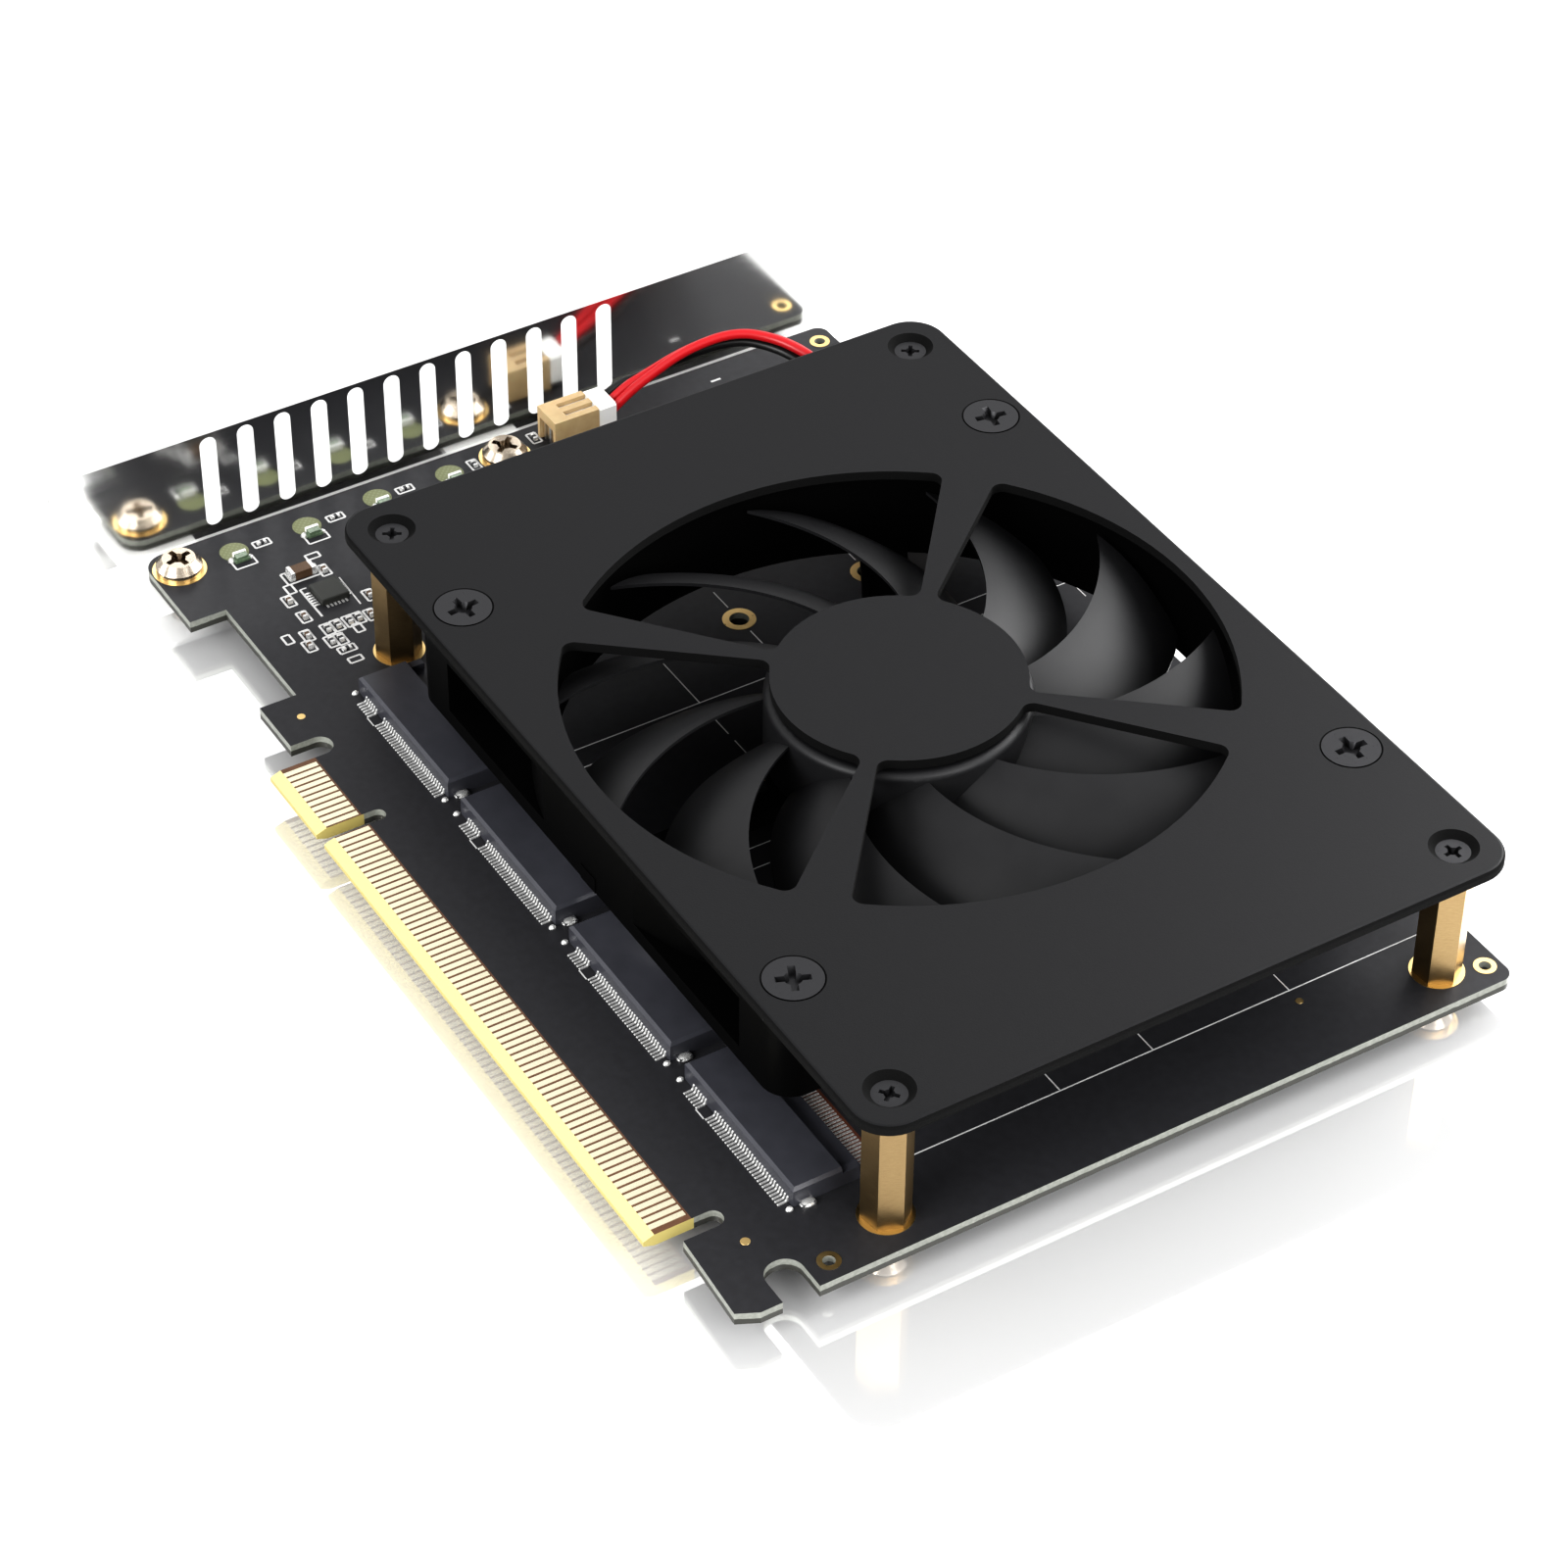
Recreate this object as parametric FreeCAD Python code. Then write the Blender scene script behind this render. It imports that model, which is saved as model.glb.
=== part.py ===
"""Expansion card that carries four drives, with a raised fan cover.

Millimetres. While the pieces are drawn, x = 0 is the key notch of the edge
contacts, y = 0 is their lower edge and z = 0 is the component side of the
board. Every piece is then shifted, so that the stored origin is the middle of
the bounding box at its lowest level. +X points away from the bracket, +Y
towards the board's upper edge and +Z out of the component side.
"""
import FreeCAD
import Part

import math
import os

V = FreeCAD.Vector

# Circuit board
board_left = -56.2
board_right = 87.4
board_top_rim = 1.65
board_thick = 1.57
board_low = 4.25
step_left = -42.45
step_right = -23.85
step_y = 9.0
tab_right = -15.85
first_contact_edge = -12.6
key_half = 0.95
key_depth = 8.23
last_contact_edge = 72.6
hook_left = 74.9
hook_low = 2.7
hook_high = 3.4
hook_notch_x = 82.1
hook_notch_low = 7.7
hook_notch_high = 12.1
notch_depth = 8.75
bevel_height = 1.3
bevel_angle = 20.0
board_low_corner = 2.75
board_top_corner = 1.5
tab_corner = 1.6
hook_corner = 1.1
hook_notch_corner = 2.1
hook_slope_x = 1.2
hook_slope_y = 2.4

# Plated holes at the board's corners: inset from its right or left and upper edges
tooling_hole_r = 0.7
tooling_land_r = 1.3
tooling_low = (2.5, 14.7)
tooling_right = (2.9, 1.9)
tooling_left = (2.9, 2.1)

# Edge contacts
contact_pitch = 1.0
contact_width = 0.7
contact_inner = 5.5
contacts_short_side = 11
contacts_long_side = 71
copper = 0.05

# Bracket
bracket_thick = 0.86
bracket_gap = 1.8
bracket_low = -4.55
bracket_width = 18.42
foot_rise = 3.6
foot_depth = 11.43
foot_notch = 4.42
foot_notch_reach = 5.9
foot_notch_out = 5.7
bracket_body_low = -1.5
shoulder_z = -2.0
shoulder_y = -3.5
tongue_z = 1.2
tongue_width = 10.19
tongue_shoulder_y = -5.6
tongue_tip = -15.22
slot_count = 12
slot_pitch = 4.98
slot_first = 15.15
slot_width = 2.2
slot_low = 0.25
slot_high = 13.3
tab_length = 10.0
tab_width = 10.0
tab_relief = 0.6

# Screws that hold the bracket's tabs
bracket_screw_x = -52.4
bracket_screw_ys = (7.65, 52.4)
bracket_screw_r = 1.45
bracket_head_r = 2.85
bracket_head_h = 1.7
ground_land_r = 3.3
screw_clear = 0.15
thread_clear = 0.05

# Drive columns and their sockets
drive_first = -9.4
drive_gap = 3.0
drive_columns = 4
drive_datum = 18.65
drive_lengths = (30.0, 42.0, 60.0, 80.0)
drive_hole_r = 1.2
drive_land_r = 2.05
socket_width = 22.0
socket_low_y = 15.5
socket_depth = 8.7
socket_height = 2.5
socket_roof_depth = 6.0
socket_edge = 0.35
socket_cheek_step = 0.6
slot_z = 0.95
slot_gap = 0.85
slot_deep = 4.6
socket_cheek = 1.0
socket_key = 1.1
socket_key_offset = -6.1
clip_width = 0.9
clip_depth = 1.6
clip_height = 0.5
clip_inset = 0.7

# Cover plate and the standoffs under it
plate_thick = 1.2
plate_left = -30.4
plate_right = 87.6
plate_rim_low = 1.05
plate_rim_high = 0.45
plate_corner = 4.5
plate_edge_round = 0.45
standoff_height = 16.8
standoff_flats = 4.8
standoff_bore = 1.25
standoff_inset_x = 5.32
standoff_inset_y = 5.15
standoff_turns = (-18.0, -21.0, -28.0, -24.0)
standoff_land_r = 3.1
plate_screw_neck_r = 1.38
plate_dimple_r = 2.78
plate_screw_sink = 0.72
plate_screw_length = 5.28
plate_screw_turns = (60.0, 39.0, 5.0, 56.0)
under_head_r = 2.5
under_head_h = 1.9
under_screw_length = 8.0
under_screw_turn = 20.0

# Cross recesses, as shares of the head's radius
recess_reach = 0.58
recess_width = 0.25
recess_core = 0.31
recess_core_foot = 0.2
recess_foot = 0.8

# Fan
fan_x = 27.8
fan_y = 59.1
fan_size = 80.0
fan_thick = 11.5
fan_corner = 3.5
fan_hole_inset = 4.25
fan_flange_top = 2.6
fan_flange_low = 2.0
duct_inset = 1.0
duct_wall = 2.2
post_size = 8.0
fan_screw_r = 1.95
fan_screw_head_r = 3.3
fan_screw_length = 8.0
fan_screw_gap = 0.2
fan_screw_turns = (6.5, 66.0, 88.0, 79.0)
window_low_r = 14.5
window_inset = 1.0
spoke_hub = 6.6
spoke_rim = 9.4
window_corner = 1.4
strut_angles = (30.0, 150.0, 270.0)
strut_width = 3.2
lead_strut = 150.0
lead_strut_width = 5.6
lead_channel_wall = 0.8
lead_exit_length = 2.15
lead_exit_rise = 1.9
lead_exit_roof = 1.6
motor_base_r = 15.2
motor_base_thick = 1.0
tube_r = 4.0
sleeve_r = 3.0
shaft_r = 1.5
running_gap = 0.04
fixed_gap = 0.02

# Rotor
blade_count = 11
blade_tip_gap = 1.0
hub_r = 15.2
hub_wall = 1.3
hub_roof = 1.2
hub_round = 0.9
hub_top_gap = 0.5
hub_low_gap = 2.3
blade_top_gap = 1.8
blade_low_gap = 3.1
blade_tip_angle = 274.5
blade_lean = 1.4
blade_span_tip = 21.0
blade_span_hub = 31.0
blade_thick = 1.3
blade_edge = 0.45
blade_belly = 0.60
blade_stations = (0.22, 0.53, 0.79)
hub_boss_gap = 0.4
shaft_seat = 0.5
yoke_wall = 0.75
magnet_wall = 1.5
air_gap = 0.5

# Motor inside the hub
stator_height = 3.0
stator_lift = 1.2
stator_yoke_wall = 1.8
stator_shoe = 1.5
stator_shoe_gap = 2.0
stator_arm = 2.8
coil_wall = 1.05
coil_gap = 0.05
coil_inset = 0.4
coil_round = 0.8
circuit_thick = 0.7
circuit_inset = 2.7
circuit_gap = 0.15
sleeve_lift = 1.6

# Fan lead, its header and plug
header_x = -54.0
header_y = 58.0
header_width = 4.6
header_depth = 6.3
header_height = 4.6
header_wall = 0.6
header_back = 1.9
header_slot_width = 0.85
header_slot_length = 4.2
header_slot_offset = 0.9
header_recess_depth = 1.1
header_recess_height = 3.2
header_pin = 0.5
header_pin_inset = 0.75
header_pin_length = 2.65
pin_gap = 0.03
plug_reach = 2.5
plug_height = 4.6
plug_low = 0.35
plug_roof = 0.5
plug_bore_depth = 1.8
plug_bore_low = 1.2
plug_slack = 0.08
plug_edge = 0.3
lead_r = 0.63
lead_pitch = 1.32
lead_exit_z = 2.2

# Lead routes between plug and fan, and each lead's place beside the middle one
lead_black_side = -1
lead_black_bends = (
    (-52.98, 68.6, 4.5),
    (-52.35, 72.0, 5.1),
    (-50.66, 77.66, 7.28),
    (-48.46, 83.56, 8.89),
    (-44.9, 87.4, 8.37),
    (-40.55, 89.1, 7.8),
    (-34.2, 89.7, 6.6),
    (-27.4, 87.7, 7.7),
)
lead_left_side = 0
lead_left_bends = (
    (-51.64, 68.6, 4.6),
    (-51.25, 71.8, 5.9),
    (-50.16, 77.36, 8.53),
    (-48.26, 83.36, 10.23),
    (-44.95, 87.45, 9.75),
    (-40.9, 89.8, 8.95),
    (-34.1, 91.1, 7.5),
    (-26.9, 89.1, 7.3),
)
lead_right_side = 1
lead_right_bends = (
    (-50.3, 68.6, 4.6),
    (-50.0, 71.6, 6.4),
    (-49.2, 76.8, 9.3),
    (-47.3, 82.8, 11.0),
    (-44.2, 86.6, 10.5),
    (-40.5, 88.7, 9.9),
    (-34.0, 90.6, 9.2),
    (-26.5, 90.0, 9.0),
)
lead_in_plug = 1.2
lead_end_gap = 0.05
lead_end_run = 7.5

# Small parts beside the bracket: x, y and whether the part lies along Y
controller_x = -38.9
controller_y = 21.0
controller_width = 3.7
controller_depth = 3.6
controller_height = 0.9
controller_edge = 0.12
large_capacitor_spots = ((-44.0, 19.8, True),)
large_capacitor_size = (3.2, 1.6, 1.1)
chip_length = 1.0
chip_width = 0.5
capacitor_height = 0.5
resistor_height = 0.35
capacitor_spots = (
    (-40.0, 16.15, False), (-36.4, 16.35, False), (-33.0, 15.05, False), (-31.1, 14.4, False),
    (-43.3, 22.5, False), (-36.2, 25.0, False), (-32.75, 23.4, False),
)
resistor_spots = (
    (-32.9, 17.7, False), (-32.95, 19.05, False), (-30.6, 17.05, False), (-30.45, 18.2, False),
    (-32.95, 20.65, False), (-32.95, 21.85, False), (-28.4, 18.0, True), (-51.96, 18.45, True),
    (-52.0, 28.5, True), (-52.7, 38.45, True), (-52.7, 48.2, False), (-53.8, 57.3, False),
)
led_spots = ((-50.3, 14.9), (-50.3, 24.7), (-51.05, 34.8), (-50.9, 44.8))
led_length = 2.0
led_width = 1.1
led_base = 0.35
led_height = 0.75
led_lens = 0.25

# Frame shift: middle of the bounding box, at its lowest level
plate_low = fan_y - fan_size / 2 - plate_rim_low
plate_high = fan_y + fan_size / 2 + plate_rim_high
board_top = plate_high + board_top_rim
foot_top = board_top + foot_rise
tooling_holes = (
    (board_right - tooling_low[0], tooling_low[1]),
    (board_right - tooling_right[0], board_top - tooling_right[1]),
    (board_left + tooling_left[0], board_top - tooling_left[1]),
)
bracket_inner = board_left - bracket_gap
bracket_outer = bracket_inner - bracket_thick
foot_tip = bracket_inner - foot_depth
board_under = -board_thick
shift = V(-(foot_tip + plate_right) / 2, -(tongue_tip + foot_top) / 2, -bracket_low)

# Levels worked out from the sizes above
plate_under = standoff_height
plate_top = plate_under + plate_thick
fan_top = plate_under
fan_low = fan_top - fan_thick
hub_top = fan_top - hub_top_gap
hub_low = fan_low + hub_low_gap
slot_span = socket_width - 2 * socket_cheek
standoff_spots = [
    (plate_left + standoff_inset_x, plate_low + standoff_inset_y),
    (plate_right - standoff_inset_x, plate_low + standoff_inset_y),
    (plate_right - standoff_inset_x, plate_high - standoff_inset_y),
    (plate_left + standoff_inset_x, plate_high - standoff_inset_y),
]
fan_hole_pitch = fan_size - 2 * fan_hole_inset
fan_hole_spots = [
    (fan_x + sx * fan_hole_pitch / 2, fan_y + sy * fan_hole_pitch / 2)
    for sx, sy in ((-1, -1), (1, -1), (1, 1), (-1, 1))
]
drive_pitch = socket_width + drive_gap
drive_xs = [drive_first + drive_pitch * k for k in range(drive_columns)]
dimple_low_r = plate_screw_neck_r + fixed_gap
dimple_slope = (plate_dimple_r - dimple_low_r) / plate_thick
plate_screw_head_h = plate_thick - plate_screw_sink
plate_screw_head_r = plate_screw_neck_r + dimple_slope * plate_screw_head_h
duct_r = fan_size / 2 - duct_inset
window_high_r = duct_r - window_inset
blade_tip_r = duct_r - blade_tip_gap
sleeve_low = fan_low + sleeve_lift
bearing_top = hub_top - hub_roof - 2.4
lead_end_r = duct_r + duct_wall + lead_exit_length
lead_end_z = fan_low + fan_flange_low + lead_exit_rise
yoke_r = hub_r - hub_wall - fixed_gap
magnet_r = yoke_r - yoke_wall - fixed_gap
stator_r = magnet_r - magnet_wall - air_gap
circuit_low = fan_low + motor_base_thick
circuit_top = circuit_low + circuit_thick
stator_low = hub_low + stator_lift
stator_top = stator_low + stator_height
header_right = header_x + header_width
header_front = header_y + header_depth
header_middle = header_x + header_width / 2


def level(z):
    """Maps (u, v) to a point of the plane at height z."""
    return lambda u, v: V(u, v, z)


def upright(x):
    """Maps (u, v) to a point of the plane at x, with u along Y and v along Z."""
    return lambda u, v: V(x, u, v)


def outline(points, place):
    """Closed face through (u, v) or (u, v, radius) corners."""
    corners = [(place(p[0], p[1]), p[2] if len(p) > 2 else 0.0) for p in points]
    ends = []
    for i, (here, radius) in enumerate(corners):
        if radius == 0.0:
            ends.append((here, None, here))
            continue
        to_last = (corners[i - 1][0] - here).normalize()
        to_next = (corners[(i + 1) % len(corners)][0] - here).normalize()
        half = to_last.getAngle(to_next) / 2
        run = radius / math.tan(half)
        middle = (to_last + to_next).normalize()
        crown = here + middle * (radius / math.sin(half) - radius)
        ends.append((here + to_last * run, crown, here + to_next * run))
    edges = []
    for i, (start, crown, end) in enumerate(ends):
        before = ends[i - 1][2]
        if before.distanceToPoint(start) > 1e-6:
            edges.append(Part.LineSegment(before, start).toShape())
        if crown is not None:
            edges.append(Part.Arc(start, crown, end).toShape())
    return Part.Face(Part.Wire(edges))


def slab(points, low, high):
    return outline(points, level(low)).extrude(V(0, 0, high - low))


def block(x0, x1, y0, y1, z0, z1):
    return Part.makeBox(x1 - x0, y1 - y0, z1 - z0, V(x0, y0, z0))


def disc(x, y, z0, z1, r):
    return Part.makeCylinder(r, z1 - z0, V(x, y, z0))


def ring(x, y, z0, z1, r_out, r_in):
    return disc(x, y, z0, z1, r_out).cut(disc(x, y, z0, z1, r_in))


def cone(x, y, z0, z1, r0, r1):
    return Part.makeCone(r0, r1, z1 - z0, V(x, y, z0))


def turned(shape, x, y, degrees):
    """Copy of the shape turned about the vertical line through (x, y)."""
    copy = shape.copy()
    copy.rotate(V(x, y, 0), V(0, 0, 1), degrees)
    return copy


def moved(shape, x, y, z=0.0):
    copy = shape.copy()
    copy.translate(V(x, y, z))
    return copy


def joined(shapes):
    first = shapes[0]
    return first.multiFuse(shapes[1:]).removeSplitter() if len(shapes) > 1 else first


def squared(x0, x1, y0, y1, radius):
    return [(x0, y0, radius), (x1, y0, radius), (x1, y1, radius), (x0, y1, radius)]


def upright_edges(shape):
    return [e for e in shape.Edges if abs(e.tangentAt(e.FirstParameter).z) > 0.99]


def save(name, shapes):
    """Writes one node; separate pieces stay separate solids."""
    solids = []
    for shape in shapes:
        solids += shape.Solids
    whole = solids[0] if len(solids) == 1 else Part.makeCompound(solids)
    whole = whole.copy()
    whole.translate(shift)
    whole.exportStep("parts/" + name + ".step")
    print(name, len(solids), "solids", round(whole.Volume, 2), "mm3")


def pan_screw(head_r, head_h, shank_r, length, turn):
    """Pan-head screw, seat at z = 0 and shank downwards."""
    rim = head_h * 0.45
    head = disc(0, 0, 0, rim, head_r).fuse(cone(0, 0, rim, head_h, head_r, head_r * 0.72))
    shank = disc(0, 0, -length, 0, shank_r)
    tool = recess_tool(head_h, head_r, head_h * 0.7, turn)
    return head.fuse(shank).removeSplitter().cut(tool)


def flat_screw(head_r, neck_r, head_h, shank_r, length, depth):
    """Countersunk screw, head face at z = 0 and shank downwards."""
    head = cone(0, 0, -head_h, 0, neck_r, head_r)
    shank = disc(0, 0, -length, -head_h, shank_r)
    return head.fuse(shank).removeSplitter().cut(recess_tool(0, head_r, depth, 0.0))


def recess_tool(z_top, head_r, depth, turn):
    """Cross recess: two tapered arms with a wider middle on the screw's axis."""
    reach = head_r * recess_reach
    half = head_r * recess_width / 2
    top = [(-reach, -half), (reach, -half), (reach, half), (-reach, half)]
    foot = [(u * recess_foot, v * recess_foot) for u, v in top]
    wires = []
    for points, z in ((foot, z_top - depth), (top, z_top)):
        corners = [V(u, v, z) for u, v in points]
        wires.append(Part.makePolygon(corners + corners[:1]))
    arm = Part.makeLoft(wires, True, True)
    core = cone(0, 0, z_top - depth, z_top, head_r * recess_core_foot, head_r * recess_core)
    return turned(arm.multiFuse([turned(arm, 0, 0, 90), core]), 0, 0, turn)


def circuit_board():
    """Board with its contact tongue, key notch, retention hook and holes."""
    points = [
        (board_left, board_low, board_low_corner),
        (step_left, board_low),
        (step_left, step_y),
        (step_right, step_y),
        (step_right, board_low),
        (tab_right, board_low),
        (tab_right, notch_depth, tab_corner),
        (first_contact_edge, notch_depth, tab_corner),
        (first_contact_edge, 0.0),
        (-key_half, 0.0),
        (-key_half, key_depth, key_half - 0.01),
        (key_half, key_depth, key_half - 0.01),
        (key_half, 0.0),
        (last_contact_edge, 0.0),
        (last_contact_edge, notch_depth, hook_corner),
        (hook_left, notch_depth, hook_corner),
        (hook_left, hook_high),
        (board_right - hook_slope_x, hook_low),
        (board_right, hook_low + hook_slope_y),
        (board_right, hook_notch_low),
        (hook_notch_x, hook_notch_low, hook_notch_corner),
        (hook_notch_x, hook_notch_high, hook_notch_corner),
        (board_right, hook_notch_high),
        (board_right, board_top, board_top_corner),
        (board_left, board_top, board_top_corner),
    ]
    board = slab(points, board_under, 0)
    bevel = bevel_height * math.tan(math.radians(bevel_angle))
    reach = last_contact_edge - first_contact_edge
    for surface, into in ((0.0, -1), (board_under, 1)):
        wedge = outline(
            [(-0.1, surface - into * 0.1), (bevel_height, surface - into * 0.1),
             (bevel_height, surface), (0.0, surface + into * bevel),
             (-0.1, surface + into * bevel)],
            upright(first_contact_edge),
        ).extrude(V(reach, 0, 0))
        board = board.cut(wedge)
    drills = [disc(x, y, board_under, 0, standoff_bore + screw_clear) for x, y in standoff_spots]
    drills += [
        disc(bracket_screw_x, y, board_under, 0, bracket_screw_r + screw_clear)
        for y in bracket_screw_ys
    ]
    drills += [
        disc(x, drive_datum + length, board_under, 0, drive_hole_r)
        for x in drive_xs
        for length in drive_lengths
    ]
    drills += [disc(x, y, board_under, 0, tooling_hole_r) for x, y in tooling_holes]
    drills += [disc(x, y, board_under, 0, header_pin / 2 * 1.6) for x, y in header_pin_spots()]
    return board.cut(Part.makeCompound(drills))


def edge_contacts():
    """Gold contact pads, both faces, starting where the bevel ends."""
    pads = []
    first_short = -key_half - contact_pitch * 0.55
    first_long = key_half + contact_pitch * 0.55
    rows = [first_short - contact_pitch * k for k in range(contacts_short_side)]
    rows += [first_long + contact_pitch * k for k in range(contacts_long_side)]
    for x in rows:
        for low in (0.0, board_under - copper):
            pads.append(block(
                x - contact_width / 2, x + contact_width / 2,
                bevel_height, contact_inner, low, low + copper,
            ))
    return pads


def plated_lands():
    """Flat gold lands round the screw holes and the plated holes."""
    lands = [
        ring(bracket_screw_x, y, 0, copper, ground_land_r, bracket_screw_r + screw_clear)
        for y in bracket_screw_ys
    ]
    for x, y in standoff_spots:
        for low in (0.0, board_under - copper):
            lands.append(ring(x, y, low, low + copper, standoff_land_r, standoff_bore + screw_clear))
    for x in drive_xs:
        for length in drive_lengths:
            lands.append(ring(x, drive_datum + length, 0, copper, drive_land_r, drive_hole_r))
    for x, y in tooling_holes:
        lands.append(ring(x, y, 0, copper, tooling_land_r, tooling_hole_r))
    return lands


def io_bracket():
    """Sheet steel bracket: vented face, slotted foot, tongue and two board tabs."""
    high = bracket_low + bracket_width
    tongue_top = tongue_z + tongue_width
    face_points = [
        (foot_top, bracket_low),
        (foot_top, high),
        (bracket_body_low, high, 0.8),
        (tongue_shoulder_y, tongue_top + 0.6),
        (tongue_shoulder_y, tongue_top),
        (tongue_tip, tongue_top, 1.0),
        (tongue_tip, tongue_z, 1.0),
        (tongue_shoulder_y, tongue_z),
        (shoulder_y, shoulder_z),
        (bracket_body_low, shoulder_z),
        (bracket_body_low, bracket_low),
    ]
    pieces = [outline(face_points, upright(bracket_outer)).extrude(V(bracket_thick, 0, 0))]
    foot = block(foot_tip, bracket_inner, foot_top - bracket_thick, foot_top, bracket_low, high)
    pieces.append(foot)
    for y in bracket_screw_ys:
        pieces.append(block(
            bracket_outer, bracket_inner + tab_length, y - tab_width / 2, y + tab_width / 2,
            board_under - bracket_thick, board_under,
        ))
    cuts = []
    for k in range(slot_count):
        y = slot_first + slot_pitch * k
        half = slot_width / 2
        cuts.append(outline(
            [(y - half, slot_low, half - 0.01), (y + half, slot_low, half - 0.01),
             (y + half, slot_high, half - 0.01), (y - half, slot_high, half - 0.01)],
            upright(bracket_outer),
        ).extrude(V(bracket_thick, 0, 0)))
    notch_x = bracket_outer - foot_notch_out
    half = foot_notch / 2
    notch = slab(
        [(notch_x - half, bracket_low - 1.0), (notch_x + half, bracket_low - 1.0),
         (notch_x + half, bracket_low + foot_notch_reach, half - 0.01),
         (notch_x - half, bracket_low + foot_notch_reach, half - 0.01)],
        0, bracket_thick,
    )
    notch.rotate(V(0, 0, 0), V(1, 0, 0), 90)
    notch.translate(V(0, foot_top, 0))
    cuts.append(notch)
    for y in bracket_screw_ys:
        wide = tab_width / 2 + tab_relief
        cuts.append(block(
            bracket_outer, bracket_inner, y - wide, y + wide,
            bracket_low, board_under - bracket_thick,
        ))
        cuts.append(disc(
            bracket_screw_x, y, board_under - bracket_thick, board_under,
            bracket_screw_r + thread_clear,
        ))
    bracket = joined(pieces).cut(Part.makeCompound(cuts))
    bends = [
        e for e in bracket.Edges
        if e.Length > 5 and abs(e.CenterOfMass.x - bracket_outer) < 1e-3
        and (abs(e.CenterOfMass.z - board_under + bracket_thick) < 1e-3
             and abs(e.tangentAt(e.FirstParameter).y) > 0.99)
    ]
    crown = [
        e for e in bracket.Edges
        if abs(e.CenterOfMass.x - bracket_inner) < 1e-3
        and abs(e.CenterOfMass.y - foot_top) < 1e-3
        and e.Length > 5
    ]
    return bracket.makeFillet(bracket_thick * 0.8, bends + crown)


def socket_housing(x):
    """Drive socket: floor with a raised roof, end cheeks, card slot and key."""
    left = x - socket_width / 2
    right = x + socket_width / 2
    front = socket_low_y + socket_depth
    roof_front = socket_low_y + socket_roof_depth
    cheek_front = front - socket_cheek_step
    body = joined([
        block(left, right, socket_low_y, front, 0, slot_z),
        block(left, right, socket_low_y, roof_front, 0, socket_height),
        block(left, left + socket_cheek, socket_low_y, cheek_front, 0, slot_z + slot_gap),
        block(right - socket_cheek, right, socket_low_y, cheek_front, 0, slot_z + slot_gap),
    ])
    slot = block(
        x - slot_span / 2, x + slot_span / 2,
        roof_front - slot_deep, roof_front, slot_z, slot_z + slot_gap,
    )
    key_x = x + socket_key_offset
    key = block(
        key_x - socket_key / 2, key_x + socket_key / 2,
        roof_front - slot_deep, roof_front, slot_z, slot_z + slot_gap,
    )
    body = body.cut(slot.cut(key))
    back_edges = [
        e for e in body.Edges
        if abs(e.CenterOfMass.z - socket_height) < 1e-3
        and abs(e.CenterOfMass.y - roof_front) > 1e-3
    ]
    return body.makeChamfer(socket_edge, back_edges)


def socket_clips():
    """Soldered metal tabs at both ends of every socket."""
    clips = []
    for x in drive_xs:
        for side in (-1, 1):
            inner = x + side * socket_width / 2
            outer = inner + side * clip_width
            clips.append(block(
                min(inner, outer), max(inner, outer),
                socket_low_y + clip_inset, socket_low_y + clip_inset + clip_depth,
                0, clip_height,
            ))
    return clips


def standoffs():
    """Brass hexagon standoffs, threaded through."""
    corner_r = standoff_flats / math.sqrt(3)
    pieces = []
    for (x, y), facet in zip(standoff_spots, standoff_turns):
        points = [
            (x + corner_r * math.cos(math.radians(facet + 30 + 60 * k)),
             y + corner_r * math.sin(math.radians(facet + 30 + 60 * k)))
            for k in range(6)
        ]
        body = slab(points, copper, plate_under)
        pieces.append(body.cut(disc(x, y, copper, plate_under, standoff_bore)))
    return pieces


def standoff_screws():
    """Pan-head screws that come up through the board into the standoffs."""
    seat = board_under - copper
    screw = pan_screw(
        under_head_r, under_head_h, standoff_bore - thread_clear, under_screw_length,
        under_screw_turn,
    )
    screw.rotate(V(0, 0, 0), V(1, 0, 0), 180)
    return [moved(screw, x, y, seat) for x, y in standoff_spots]


def bracket_screws():
    """Pan-head screws through the board into the bracket's tabs."""
    length = board_thick + bracket_thick + copper + 0.8
    return [
        moved(
            pan_screw(bracket_head_r, bracket_head_h, bracket_screw_r, length, turn),
            bracket_screw_x, y, copper,
        )
        for y, turn in zip(bracket_screw_ys, (14.0, 38.0))
    ]


def sector_window(middle):
    """One air window of the cover: a rounded sector between two spokes."""
    hub_half = (90.0 - spoke_hub) / 2
    rim_half = (90.0 - spoke_rim) / 2

    def at(r, turn):
        a = math.radians(middle + turn)
        return V(fan_x + r * math.cos(a), fan_y + r * math.sin(a), plate_under)

    low_0, low_1 = at(window_low_r, -hub_half), at(window_low_r, hub_half)
    high_0, high_1 = at(window_high_r, -rim_half), at(window_high_r, rim_half)
    edges = [
        Part.LineSegment(low_0, high_0).toShape(),
        Part.Arc(high_0, at(window_high_r, 0), high_1).toShape(),
        Part.LineSegment(high_1, low_1).toShape(),
        Part.Arc(low_1, at(window_low_r, 0), low_0).toShape(),
    ]
    cutter = Part.Face(Part.Wire(edges)).extrude(V(0, 0, plate_thick))
    return cutter.makeFillet(window_corner, upright_edges(cutter))


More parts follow.
